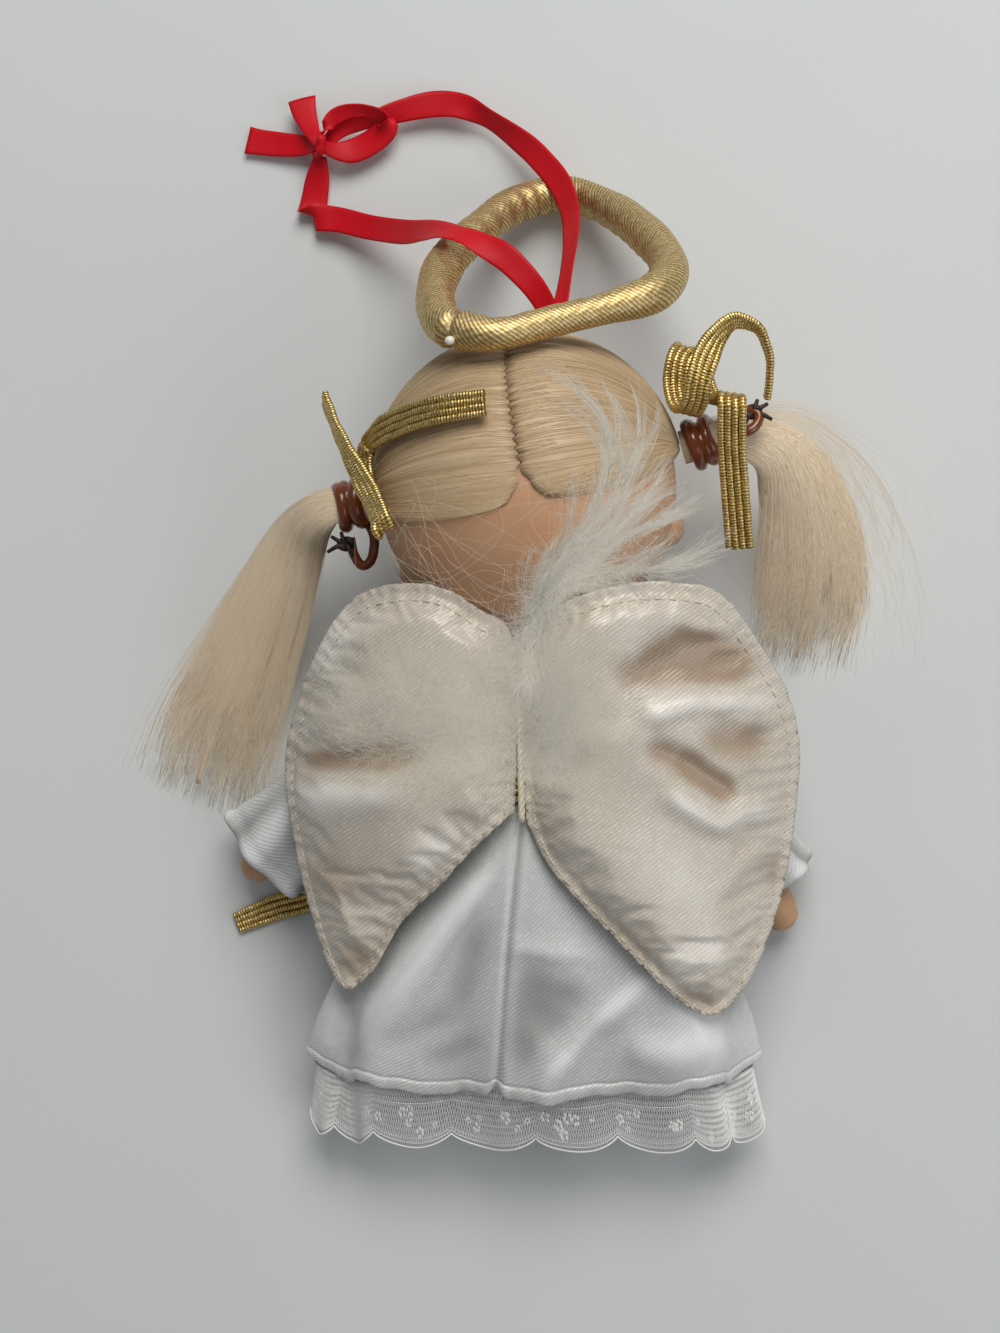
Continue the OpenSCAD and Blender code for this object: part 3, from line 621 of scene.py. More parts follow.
@dataclass(frozen=True)
class HairFibre(Finish):
    """Rooted nylon doll hair: glossy parallel fibres, each a little different in colour."""

    dark: str = "#b58f57"
    light: str = "#f1dcb6"

    def pattern(self, paint: Paint) -> None:
        """Own tint for each fibre and faint bands along it."""
        parts = add(paint.tree, "ShaderNodeSeparateXYZ", {0: paint.cloth()})
        chance = add(paint.tree, "ShaderNodeTexWhiteNoise", {"W": parts.outputs[1]}, noise_dimensions="1D")
        own = paint.ramp(chance.outputs["Value"], (0.0, self.dark), (0.35, self.colour), (1.0, self.light))
        soft = paint.noise(paint.place(), 5 * MM, 2.0)
        paint.feed("Base Color", paint.mixed(soft, own, linear(self.colour)))


@dataclass(frozen=True)
class CombedHair(HairFibre):
    """Sheet of combed fibres seen as one mass: lines run along the combing."""

    fibre_mm: float = 0.22

    def pattern(self, paint: Paint) -> None:
        """Streaks of fibre tints across the sheet and a bump that follows them."""
        streak = paint.noise(paint.cloth(Scale=(0.02, 1.0, 1.0)), self.fibre_mm, 5.0, 0.7)
        paint.feed("Base Color", paint.ramp(streak, (0.3, self.dark), (0.5, self.colour), (0.75, self.light)))
        paint.bump(streak, 0.25, 0.08)


@dataclass(frozen=True)
class MetalYarn(Finish):
    """Metallised yarn: bright gold film with darker gaps and small painted glints."""

    gap: str = "#5e4417"
    glint: str = "#fff0bd"
    grain: float = 0.3
    pitch: float = 0.5
    slant: float = 1.57
    relief: float = 0.6

    def pattern(self, paint: Paint) -> None:
        """Wraps of film across the yarn, with painted glints on single grains."""
        wraps = paint.bands(paint.cloth(Rotation=(0.0, 0.0, self.slant)), self.pitch, 1.5, 2.0, 1.4)
        links = {"Vector": paint.place(), "Scale": 1 / (self.grain * MM)}
        cells = add(paint.tree, "ShaderNodeTexVoronoi", links)
        grains = add(paint.tree, "ShaderNodeSeparateColor", {0: cells.outputs["Color"]})
        both = paint.maths("MULTIPLY_ADD", grains.outputs[0], 0.38, paint.maths("MULTIPLY", wraps, 0.62))
        paint.feed("Base Color", paint.ramp(both, (0.1, self.gap), (0.5, self.colour), (0.95, self.glint)))
        paint.bump(both, self.relief, 0.1)


@dataclass(frozen=True)
class Vinyl(Finish):
    """Rotation-moulded soft vinyl: matte skin with a slight glow and uneven pigment."""

    blush: str = "#e9a184"

    def pattern(self, paint: Paint) -> None:
        """Slow pigment drift and a pore-fine bump."""
        place = paint.place()
        warm = paint.ranged(paint.noise(place, 9 * MM, 2.0), (0.4, 0.75), (0.0, 0.4))
        paint.feed("Base Color", paint.mixed(warm, linear(self.colour), linear(self.blush)))
        paint.bump(paint.noise(place, 0.5 * MM, 3.0), 0.12, 0.05)


# Soft vinyl, moulded: matte tan, warmer where the pigment gathers
SKIN = Vinyl("vinyl_moulded_tan", "#c39a78", roughness=0.5, subsurface=0.12, specular=0.35, blush="#c0875f")
# Nylon hair fibres: pale blond, glossy
HAIR = HairFibre("nylon_hair_blond", "#bfa785", roughness=0.36, specular=0.35, dark="#b69d79",
                 light="#c9b596")
COMBED = CombedHair("nylon_hair_combed", "#c0a787", roughness=0.36, specular=0.35, dark="#b09775",
                    light="#cab597")
# Loose ends of the same hair, painted paler as painted light, for the light that passes between the fibres
TAIL = HairFibre("nylon_hair_loose", "#e8d8bf", roughness=0.42, specular=0.4, dark="#d8c3a4", light="#f3eadb")
TAIL_MASS = CombedHair("nylon_hair_gathered", "#e2cfb3", roughness=0.45, specular=0.35, dark="#d2b995",
                       light="#ede0cb")
# Latex bands, dipped: glossy amber that lets some light through
RUBBER = Finish("latex_band_amber", "#78380f", roughness=0.2, coat=0.4, subsurface=0.25)
CHARRED = Finish("latex_knot_dark", "#2a1711", roughness=0.5)
# Gold lame, knitted from metallised film: slanted rows of fine painted glints
LAME = MetalYarn("gold_lame_knit", "#c4a971", roughness=0.5, metallic=1.0, gap="#a2864e", glint="#efdfb4",
                 grain=0.28, pitch=0.46, slant=0.95, relief=0.35)
# Gold braid of wrapped yarn: fine wraps across each cord, with painted glints
BRAID = MetalYarn("gold_braid_wrapped", "#cbaa5c", roughness=0.38, metallic=1.0, gap="#8d6f31",
                  glint="#fff1bd", grain=0.2, pitch=0.36, slant=1.57, relief=0.5)
# Red acetate satin ribbon, cut edges: deep colour, little shine, faint painted glints and painted shade in
# its thread lines
RED = Satin("red_satin_ribbon", "#c80c1c", roughness=0.5, shade="#8c0610", crest="#d6273a", thread=0.34,
            weave=Weave.ALONG, shade_depth=0.5, lines=0.15, relief=0.15, specular=0.22, spark=0.15)
# White polyester satin: painted silvery highlight on the crests and painted grey shade in the hollows
WHITE = Satin("white_satin_woven", "#c9cbc9", roughness=0.3, shade="#868683", crest="#f4f6f6", shade_depth=0.65,
              cloud=14.0, specular=0.6, lines=0.22, glow=0.75, relief=0.35)
# Ivory polyester satin over wadding: painted silvery highlight on the crests; the tan in the hollows is
# painted shade, partly also the satin's age staining
IVORY = Satin("ivory_satin_woven", "#c8c0b3", roughness=0.3, shade="#937659", crest="#efece6", shade_depth=0.75,
              cloud=9.0, specular=0.6, lines=0.22, glow=0.9, relief=0.35)
# White cotton lace thread
LACE = Finish("white_lace_thread", "#f4f4f1", roughness=0.7, sheen=0.2)
# Sewing thread in the wing edges
THREAD = Finish("polyester_thread_cream", "#d6cab4", roughness=0.55, sheen=0.2)
# Cream cotton cord, two-ply
CORD = Finish("cotton_cord_cream", "#d9d0ba", roughness=0.75, sheen=0.3)
# Cotton stuffing cord in the halo
STUFFING = Finish("cotton_stuffing_cord", "#e9e5d8", roughness=0.9)
# Marabou down: soft white barbs that scatter light
DOWN = Finish("marabou_down_white", "#dbd7cd", roughness=0.9, specular=0.1)
# Hot-melt glue dot
GLUE = Finish("hot_melt_glue", "#efe9dc", roughness=0.25, subsurface=0.3)
# Face paint, sprayed through masks
PAINT_BROWN = Finish("face_paint_brown", "#6b4226", roughness=0.45)
PAINT_IRIS = Finish("face_paint_blue", "#4f7fa6", roughness=0.3, coat=0.4)
PAINT_DARK = Finish("face_paint_black", "#1d1715", roughness=0.3, coat=0.4)
PAINT_WHITE = Finish("face_paint_white", "#f6f4f0", roughness=0.35, coat=0.3)
PAINT_LIP = Finish("face_paint_rose", "#cf6a66", roughness=0.4)
PAINT_CHEEK = Finish("face_paint_blush", "#eba98f", roughness=0.55)


def labelled(piece: Piece, nodes: Sequence[str], moves: str) -> Piece:
    """Hide the solids that a piece stands for, and log how it moves."""
    if nodes:
        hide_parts(*nodes)
    LOG.info("%s %s, %d faces", piece.name, moves, len(piece.data.polygons))
    return piece


def carry(piece: Piece, body: str, slot: str, *nodes: str) -> Piece:
    """Let a piece ride a body.

    Args:
        piece: finished object.
        body: body that it moves with.
        slot: not used.
        nodes: solids that it stands for.

    Returns:
        The same object.
    """
    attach(piece, body)
    return labelled(piece, nodes, f"rides {body}")


def bend_with(piece: Piece, first: str, second: str, start: Array, end: Array, slot: str,
              *nodes: str) -> Piece:
    """Bake a piece's placement into its mesh and log it as bending from one body to another.

    Args:
        piece: finished mesh object.
        first: name of the body at the start, used in the log.
        second: name of the body at the end, used in the log.
        start: not used.
        end: not used.
        slot: not used.
        nodes: solids that it stands for.

    Returns:
        The same object.
    """
    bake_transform(piece)
    return labelled(piece, nodes, f"bends from {first} to {second}")


def airy(piece: Piece) -> Piece:
    """Let a veil of fine strands cast no shadow, since nearly all light passes between them."""
    piece.visible_shadow = False
    return piece


@dataclass
class Studio:
    """Camera above the doll's back, soft light and the pale table."""

    eye: tuple[float, float, float] = (40.7, -17.3, 298.5)
    aim: tuple[float, float, float] = (1.0, -2.4, 16.0)
    focal_px: float = 2310.0
    frame_px: float = 1333.0
    sensor: float = 36.0

    def camera(self) -> None:
        """Camera at the photograph's viewing angle, with the doll's head towards the top."""
        data = bpy.data.cameras.new("photo_camera")
        data.sensor_fit = "AUTO"
        data.sensor_width = self.sensor
        data.lens = self.sensor * self.focal_px / self.frame_px
        data.clip_start = 0.01
        data.clip_end = 20.0
        made = linked("photo_camera", data)
        back = unit(np.array(self.eye) - np.array(self.aim))
        right = unit(np.cross([0.0, 1.0, 0.0], back))
        turned = np.eye(4)
        turned[:3] = np.column_stack([right, np.cross(back, right), back, np.array(self.eye) * MM])
        made.matrix_world = Matrix(turned.tolist())
        bpy.context.scene.camera = made

    def lamp(self, name: str, place: tuple[float, float, float], size: float, watts: float,
             tint: str) -> None:
        """One soft area lamp that points at the doll."""
        data = bpy.data.lights.new(name, "AREA")
        data.shape = "DISK"
        data.size = size
        data.energy = watts
        data.color = linear(tint)[:3]
        made = linked(name, data)
        made.location = place
        made.rotation_euler = (Vector((0.0, 0.0, 0.0)) - Vector(place)).to_track_quat("-Z", "Y").to_euler()

    def light(self) -> None:
        """Window-like key from above the head, a weak lamp from the lower right and an even fill."""
        self.lamp("window_light", (0.16, 0.48, 0.60), 0.55, 4.8, "#fffdf8")
        self.lamp("room_light", (0.46, -0.22, 0.40), 0.4, 0.75, "#fbfcff")
        world = bpy.data.worlds.new("even_room")
        bpy.context.scene.world = world
        world.use_nodes = True
        world.node_tree.nodes.clear()
        back = add(world.node_tree, "ShaderNodeBackground", {"Color": linear("#eef1f4"), "Strength": 0.23})
        add(world.node_tree, "ShaderNodeOutputWorld", {"Surface": back.outputs[0]})

    def table(self) -> None:
        """Pale grey-white table top, faintly uneven."""
        pale = Finish("laminate_table_pale", "#d3d6d6", specular=0.3, roughness=0.55, mottle=35.0, fade=0.95)
        half, count = 1500.0, 9
        x, y = np.meshgrid(*[np.linspace(-half, half, count)] * 2, indexing="ij")
        points = np.stack([x.ravel(), y.ravel(), np.zeros(x.size)], axis=1)
        floor = build_mesh("table_top", pale, points, grid_faces(count, count)[:, ::-1])

    def build(self) -> None:
        """Set up the camera, the light and the table."""
        self.camera()
        self.light()
        self.table()
        bpy.context.scene.view_settings.view_transform = "Standard"
        LOG.info("studio set up")


@dataclass
class Hanger:
    """Red satin ribbon: two strands from the stitch on the crown to a knotted bow on the table."""

    width: float = 3.3
    thick: float = 0.28

    def strip(self, name: str, rows: list, camber: float) -> tuple[Piece, Array]:
        """One ribbon strip and its centreline in metres."""
        line = spaced_line(smooth_line(by_head(rows), 10), 0.5)
        parts = strip_mesh(line[:, :3], line[:, 3:6], line[:, 6] * self.width, self.thick, 9, camber)
        return build_mesh(name, RED, *parts), line[:, :3] * MM

    def build(self) -> None:
        """Make both strands, the bow and the wrap of its knot."""
        left, path_left = self.strip("hanger_strand_left", HANGER_LEFT, 0.15)
        right, path_right = self.strip("hanger_strand_right", HANGER_RIGHT, 0.15)
        bow, _ = self.strip("hanger_bow", HANGER_BOW, 0.1)
        turn = full_turn(32)
        wrap = [-29.9 + 0.7 * np.sin(turn), 48.4 + 1.3 * np.cos(turn), 3.3 + 1.2 * np.sin(turn)]
        wrap = tube_mesh(by_head(np.stack(wrap, axis=1)), 0.55 + 0.12 * np.cos(5 * turn), 10, closed=True)
        knot = build_mesh("hanger_knot_wrap", RED, *wrap)
        for piece in (left, right):
            carry(piece, "head", "red_ribbon", "hanger_ribbon")
        carry(bow, "head", "red_ribbon", "hanger_knot")
        carry(knot, "head", "red_ribbon")


# Hanger rows: place off the head's middle, height above the table, direction across, share of the width
HANGER_LEFT = [[3.2, 19.95, 19.2, 1, 0, 0, 0.8], [2.6, 22, 21.2, 1, 0.2, 0, 0.8],
               [1, 24.6, 22.4, 0.8, 0.5, 0.1, 0.9], [-2, 27.8, 22.6, 0.6, 0.8, 0.1, 1],
               [-4.6, 29.5, 22.4, 0.5, 0.75, -0.3, 1], [-7, 30.9, 22, 0.4, 0.65, -0.6, 1],
               [-9.8, 32, 20.4, 0.35, 0.62, -0.7, 1], [-13.1, 33.4, 15.4, 0.3, 0.8, -0.4, 1],
               [-17.2, 34.9, 9, 0.3, 0.95, 0, 1], [-22.7, 36.9, 4, 0.3, 0.95, 0, 1],
               [-27, 38.4, 2.4, 0.2, 1, 0, 1.02], [-29.8, 38.9, 2.1, -0.25, 1, 0, 1.08],
               [-31.2, 39.3, 1.5, -0.8, 0.6, 0, 1.15], [-31.2, 40.2, 0.8, -0.95, 0.3, 0, 1.15],
               [-30.9, 42, 0.7, -1, 0.12, 0, 1.08], [-30.4, 44.6, 1.2, -1, 0.1, 0, 0.95],
               [-29.8, 47.2, 2.2, -1, 0.1, 0, 0.5]]
HANGER_RIGHT = [[3.2, 19.9, 19, 1, 0, 0, 0.8], [3.4, 20.6, 18.1, 1, 0, 0.1, 0.7],
                [4, 23.6, 17.4, 0.8, 0, 0.5, 0.7], [4.5, 28, 15.6, 0.65, 0, 0.76, 0.8],
                [4.7, 32.4, 12.6, 0.65, 0, 0.76, 0.9], [4.2, 36.8, 8.8, 0.72, 0.1, 0.65, 0.95],
                [2.6, 41.2, 6.3, 0.8, 0.3, 0.45, 1], [0.1, 44.6, 5, 0.75, 0.45, 0.4, 1],
                [-2.4, 47.2, 4.2, 0.65, 0.5, 0.5, 1], [-7.2, 51, 3.2, 0.3, 0.6, 0.72, 0.9],
                [-11, 53, 2.7, 0.15, 1, 0.1, 1], [-14.7, 53.4, 2.5, 0, 1, 0.1, 1.05],
                [-19, 52.6, 2.7, -0.1, 0.9, 0.4, 0.9], [-23.2, 51.4, 3, -0.1, 0.5, 0.85, 0.8],
                [-26.6, 50.6, 3, -0.3, 0.8, 0.5, 0.7], [-29, 48.8, 2.6, -0.5, 0.8, 0, 0.5]]
HANGER_BOW = [[-32.35, 54.9, 2.4, 0.95, 0.3, 0, 1.15], [-31.9, 53, 2.8, 1, 0.25, 0, 1],
              [-31, 50.8, 3.4, 1, 0.2, 0, 0.75], [-29.8, 48.6, 4.2, 0.9, 0.3, 0, 0.45],
              [-28.2, 47.7, 3.2, 0.3, 1, 0, 0.6], [-25.6, 47.6, 2.4, -0.3, 1, 0, 1],
              [-22.6, 48.9, 2.4, -0.55, 1, 0.1, 1], [-20.7, 50.5, 3, -0.5, 0.7, 0.5, 0.9],
              [-21.4, 51.8, 4, -0.1, 0.5, 0.85, 0.7], [-24.6, 52.4, 4.5, 0.1, 0.7, 0.6, 0.6],
              [-27.4, 51.7, 4.4, 0.3, 0.9, 0.3, 0.65], [-29.2, 49.6, 4.2, 0.6, 0.8, 0, 0.45],
              [-30.4, 48.4, 3.2, 0.3, 1, 0, 0.5], [-32.4, 48.7, 2, 0.05, 1, 0, 0.85],
              [-35.6, 49.2, 1.3, 0.1, 1, 0, 1], [-38.4, 49.7, 1, 0.45, 0.9, 0, 1.05],
              [-40.1, 50.05, 0.9, 0.8, 0.6, 0, 1.15]]


@dataclass
class Halo:
    """Stuffed tube of gold lame bent into a rounded three-sided ring, with a glued seam."""

    tube_r: float = 2.35
    near: tuple[float, float, float] = (6.83, 36.63, 32.71)
    tilt: float = math.radians(52.39)
    far: float = 38.26
    pleats: int = 58
    pitch: float = 0.26

    def line(self) -> Array:
        """Middle of the tube, as a closed line."""
        k = self.far / 39.2
        rows = [[-8.6, -0.6], [-3.6, -2], [2.3, 0.9], [9.4, 4.6], [14.3, 8.2], [15.7, 14.5], [13.5, 22.5],
                [7.8, 32.9], [0.8, 39.1], [-5.4, 36.1], [-9.6, 27.7], [-12.3, 18.7], [-12.5, 9.4],
                [-11, 2.5], [-9.4, -0.1]]
        rows = [[x, y * k] for x, y in rows]
        flat = spaced_line(np.pad(smooth_line(rows + rows[:1], 12), ((0, 0), (0, 1))), self.pitch)[:-1]
        c, s = math.cos(self.tilt), math.sin(self.tilt)
        return np.array(self.near) + np.stack([flat[:, 0], flat[:, 1] * c, -flat[:, 1] * s], axis=1)

    def build(self) -> None:
        """Make the covered tube, its core, its seam and the glue dot."""
        line = self.line()
        n, sides = len(line), 80
        share = np.arange(n) / n
        way_round = TAU * share
        middle = line.mean(axis=0)
        inward = (tube_rings(line, sides, closed=True) * unit(middle - line)[:, None, :]).sum(axis=2)
        slant = (self.pleats * way_round + 1.2 * np.sin(9 * way_round))[:, None]
        knit = 0.011 * np.sin(slant + 16 * full_turn(sides))
        pucker = np.sin(37 * way_round + 1.3 * np.sin(5 * way_round))[:, None]
        pucker = 0.09 * share_of(inward) ** 1.5 * pucker
        swell = (0.03 * np.sin(5 * way_round + 1) + 0.02 * np.sin(11 * way_round))[:, None]
        seam_gap = np.minimum(np.minimum(share, 1 - share) * n * self.pitch / 0.7, 1.0)
        # The tube is drawn thinner along the side that lies against the crown
        near = share_of(share / 0.05) * share_of((0.24 - share) / 0.06)
        waist = ((1 - 0.22 * (1 - seam_gap ** 2)) * (1 - 0.2 * near))[:, None]
        radius = self.tube_r * (1 + knit + pucker + swell) * waist
        cover = build_mesh("halo_cover_lame", LAME, *tube_mesh(line, radius, sides, closed=True))
        carry(cover, "head", "gold_lame", "halo_cover")
        core = build_mesh("halo_core_cord", STUFFING, *tube_mesh(line, self.tube_r - 1.0, 12, closed=True))
        carry(core, "head", "cotton_cord", "halo_core")
        seam = line[0] + unit(line[0] - middle) * 2.2
        dot = blob(seam + np.array([0.6, -0.5, 0.9]), np.array([0.6, 0.55, 0.45]), 10)
        carry(build_mesh("halo_glue_dot", GLUE, *dot), "head", "gold_lame")


def blob(middle: Array, half: Array, cols: int) -> tuple[Array, list]:
    """Small rounded lump with a slightly uneven skin.

    Args:
        middle: middle in millimetres.
        half: half sizes along X, Y and Z.
        cols: points round it.

    Returns:
        Points and faces.
    """
    rng = Seed.GLUE.draws()
    rows = max(5, cols // 2)
    up = np.linspace(-math.pi / 2, math.pi / 2, rows + 2)[1:-1]
    turn = full_turn(cols)
    ring = np.stack([np.outer(np.cos(up), np.cos(turn)), np.outer(np.cos(up), np.sin(turn)),
                     np.outer(np.sin(up), np.ones(cols))], axis=2)
    ring = ring * (1 + 0.06 * rng.standard_normal((rows, cols, 1)))
    points = np.concatenate([ring.reshape(-1, 3), [[0, 0, -1], [0, 0, 1]]]) * half + middle
    faces = grid_faces(rows, cols, wrap_cols=True).tolist()
    low, high = rows * cols, rows * cols + 1
    for j in range(cols):
        faces.append([low, (j + 1) % cols, j])
        faces.append([high, (rows - 1) * cols + j, (rows - 1) * cols + (j + 1) % cols])
    return points, faces


@dataclass
class Gown:
    """White satin gown: bodice, skirt with a rolled hem, and scalloped lace below it."""

    hem_w: float = 58.0
    hem_back: float = 7.0
    fold: float = 1.0
    folds: int = 8
    cloth: float = 0.5
    seam_x: float = -4.3
    hem_at: float = 0.955
    lace_drop: float = 5.6
    scallops: int = 16

    def depth(self, y: Array) -> Array:
        """Depth from the spine to the table at a place along the spine."""
        return (NECK[2] + y * math.sin(LIE)) / math.cos(LIE) - 0.05

    def point(self, s: Array, a: Array, inward: float, drop: Array | float = 0.0) -> Array:
        """Points of the gown in the doll's frame.

        Args:
            s: share of the way from waist to hem.
            a: angle round the gown in radians.
            inward: distance in from the outer face.
            drop: extra way along the spine.

        Returns:
            Points in millimetres in the doll's frame.
        """
        f = self.fold * np.minimum(s, 1) ** 1.4 * np.cos(self.folds * a + np.radians(25) * s)
        y = -WAIST_Y - CLOTH_GAP - s * (SKIRT_LONG - CLOTH_GAP) - drop
        flare = (self.hem_w / 2 - BODICE_OUT) * (1 - np.maximum(1 - s, 0) ** 1.6)
        wide = BODICE_OUT + flare + np.maximum(s - 1, 0) * 6
        back = BODICE_OUT + (self.hem_back - BODICE_OUT + 7.6) * s - 7.6 * s * s
        low = self.depth(y)
        front = np.minimum(BODICE_OUT + 8 * s, low)
        up = np.sin(a)
        under = np.maximum((front + f - inward) * up, -(low - max(inward, 0)))
        z = np.where(up >= 0, (back + f - inward) * up, under)
        return np.stack([(wide + f - inward) * np.cos(a), y + 0 * z, z], axis=-1)

    def upper(self, a: Array) -> Array:
        """How far an angle lies on the upper side, from 0 at the sides to 1 on the back."""
        return share_of(np.sin(a) * 2.2)

    def arch(self, a: Array) -> Array:
        """Bow of the hem across the back, along the spine."""
        return (0.9 * np.cos(2.0 * (a - math.pi / 2)) - 1.0) * self.upper(a)

    def aside(self, x: Array) -> Array:
        """How far a place lies out to the side of the hem, from 0 in the middle to 1."""
        return share_of(np.abs(x) / (self.hem_w / 2)) ** 2

    def narrowed(self, x: Array) -> Array:
        """Share that the hem is drawn in by, more on the right than on the left."""
        return np.where(x > 0, 0.075, 0.01)

    def drape(self, p: Array, share: Array) -> Array:
        """Rise of the broad diagonal folds on the back, for points in the doll's frame."""
        return creased(p[..., 0], p[..., 1], SKIRT_FOLDS) * share_of(share * 4)

    def skirt_rings(self, inward: float, angles: Array, shares: Array) -> Array:
        """Rings of the skirt in the shared frame."""
        s, a = np.meshgrid(shares, angles, indexing="ij")
        p = self.point(s, a, inward)
        # These are views, so what is added to them is added to the points
        x, y, z = np.moveaxis(p, -1, 0)
        top = self.upper(a)
        z += top * self.drape(p, s)
        seam = self.seam_x * s - 0.4
        z -= top * 0.45 * bell(x - seam, 0.45)
        z += top * 0.18 * bell(x - seam - 1.1, 0.6)
        hem = share_of((s - self.hem_at) / (1 - self.hem_at))
        out = 0.2 * np.sqrt(share_of(1 - (2 * hem - 1.0) ** 2)) - 0.14 * bell(s - self.hem_at, 0.006)
        lift = out * (-0.35 if inward > 0 else 1.0)
        x += lift * np.cos(a)
        z += lift * share_of(np.sin(a))
        y += self.arch(a) * s ** 3
        y += 3.6 * s ** 4 * self.aside(x)
        uneven = 0.3 * np.sin(11 * a + 0.6) + 0.16 * np.sin(23 * a + 2) + 0.1 * np.sin(41 * a)
        y += uneven * s ** 8 * top + 0.9 * top * s ** 10 * bell(x - seam, 0.9)
        z += 0.1 * top * hem * np.sin(61 * a + 2 * np.sin(7 * a))
        x *= 1 - self.narrowed(x) * s ** 2
        return lying(p)

    def build(self) -> None:
        """Make bodice, skirt and lace."""
        close = math.pi / 2 + np.linspace(-0.02, 0.36, 46)
        around = np.concatenate([np.linspace(0, TAU, 220, endpoint=False), close])
        around = np.unique(np.round(around, 5))
        closer = 0.94
        shares = np.unique(np.concatenate([np.linspace(0, closer, 58), np.linspace(closer, 1, 17)]))
        outer = self.skirt_rings(0.0, around, shares)
        points, faces = shell_mesh(outer, self.skirt_rings(self.cloth, around, shares))
        s, a = np.meshgrid(shares, around, indexing="ij")
        uv = np.stack([a * 24, s * SKIRT_LONG], axis=-1)
        uv = np.concatenate([uv, uv[::-1]]).reshape(-1, 2)
        # Painted shade in the hollows and painted highlight on the crests of the skirt's folds
        level = self.drape(self.point(s, a, 0.0), s) * self.upper(a)
        level = np.clip(level / 1.1 + 0.25 * np.cos(self.folds * a + 0.4) * s, -1, 1)
        skirt = build_mesh("gown_skirt", WHITE, points, faces, uv, np.concatenate([level, level[::-1]]))
        carry(skirt, "torso", "white_satin", "skirt")
        lace = self.lace()
        self.bodice()

    def bodice(self) -> None:
        """Bodice fitted round the chest, lightly gathered."""
        rows = [[4.9, -1.5], [7.2, -2.9], [8.75, -4.2], [BODICE_OUT, -7], [BODICE_OUT, -12], [8.9, -18.5]]
        profile = smooth_line(rows, 6)
        turn = full_turn(72)
        gathers = 0.1 * np.sin(9 * turn) * np.linspace(0.3, 1, len(profile))[:, None]
        y = np.repeat(profile[:, 1:], len(turn), axis=1)
        rings = []
        for thick in (0.0, 0.45):
            r = profile[:, :1] - thick + gathers
            rings.append(lying(np.stack([r * np.cos(turn), y, r * np.sin(turn)], axis=2)))
        uv = [np.tile(turn * 8.5, len(profile) * 2), np.concatenate([y, y[::-1]]).ravel()]
        piece = build_mesh("gown_bodice", WHITE, *shell_mesh(rings[0], rings[1]), np.stack(uv, axis=1))
        carry(piece, "torso", "white_satin", "bodice")

    def lace_point(self, t: Array, a: Array) -> Array:
        """Points of the lace, from 0 under the hem to 1 at the scalloped edge."""
        s = 0.965 + t * (self.lace_drop + 1.3) / SKIRT_LONG
        deep = 2.1 * np.abs(np.sin(self.scallops * a / 2)) ** 0.7 * t
        p = self.point(s, a, 0.95, deep)
        # These are views, so what is added to them is added to the points
        x, y, z = np.moveaxis(p, -1, 0)
        ruffle = 0.55 * t * np.sin(self.scallops * a + 0.7) + 0.4 * t * np.sin(7 * a + 1)
        z += (ruffle - 0.6 * t) * self.upper(a)
        x += ruffle * np.cos(a) * 0.8
        y += self.arch(a)
        y += 1.6 * self.aside(x)
        x *= 1 - self.narrowed(x)
        return lying(p)

    def lace(self) -> Piece:
        """Scalloped lace: a fine net, corded edges and small flowers worked into it."""
        threads, edge_points = 540, 900
        t = np.linspace(0, 1, 12)
        lean = 5.2 * TAU / threads
        rng = Seed.LACE.draws()
        parts = []
        for way in (-1, 1):
            a = full_turn(threads)[:, None] + way * lean * t
            parts.append(strands_mesh(self.lace_point(np.broadcast_to(t, a.shape), a), 0.047))
        for place, r in ((1.0, 0.12), (0.93, 0.05), (0.86, 0.04), (0.3, 0.05)):
            edge = self.lace_point(np.full(edge_points, place), full_turn(edge_points))
            parts.append(tube_mesh(edge, r, 5, closed=True))
        for k in range(self.scallops):
            for turn in rng.uniform(0.05, 0.95, 7):
                t0 = rng.uniform(0.4, 0.62 + 0.22 * math.sin(turn * math.pi))
                big = rng.uniform(0.35, 0.75)
                for petal in range(5):
                    b = petal * TAU / 5 + rng.uniform(-0.4, 0.4)
                    parts.append(self.leaf((k + turn) * TAU / self.scallops + 0.022 * big * math.cos(b),
                                           t0 + 0.1 * big * math.sin(b), 0.055 * big, 0.0105 * big))
        return carry(build_mesh("gown_lace", LACE, *joined(parts)), "torso", "white_lace", "lace_trim")

    def leaf(self, a0: float, t0: float, reach: float, wide: float) -> MeshParts:
        """One close-worked petal of the lace, as a thin closed pad."""
        n = 12
        turn = full_turn(n)
        sides = []
        for lift in (0.04, -0.04):
            for size in (1.0, 0.45):
                p = self.lace_point(t0 + size * reach * np.cos(turn), a0 + size * wide * np.sin(turn))
                out = unit(np.cross(p[3] - p[0], p[6] - p[0]))
                sides.append(p + out * lift * (0.3 if size == 1.0 else 1.0))
        points = np.concatenate([sides[1], sides[0], sides[2], sides[3]])
        return points, capped_faces(4, n), np.zeros((4 * n, 2))


# Broad folds of the skirt's back, raised in the cloth and painted with shade and highlight: start, end, half
# width and height
SKIRT_FOLDS = [((-4, -26.5), (-20.5, -47.5), 1.8, 1.5), ((13, -42), (2, -53), 1.6, 1.3),
               ((-1.5, -36.5), (7, -37.5), 1.3, 0.5), ((-10, -46), (-6, -34), 2.2, -0.7),
               ((-1.6, -52), (1, -38.5), 2.4, -1), ((1.5, -47), (5.5, -41.5), 3, -1),
               ((20, -43), (25, -52), 2.5, 0.9), ((12.5, -49.5), (21, -51), 2.6, 0.9),
               ((-26, -45), (-27.5, -54), 2, 0.8), ((-22.5, -46), (-23.5, -54), 1.2, -0.6),
               ((4, -50.5), (9.5, -46.5), 1.6, -0.6), ((-13, -52), (-6.5, -49), 1.6, -0.35),
               ((-18, -50.5), (-11, -45.5), 1.6, -0.5)]


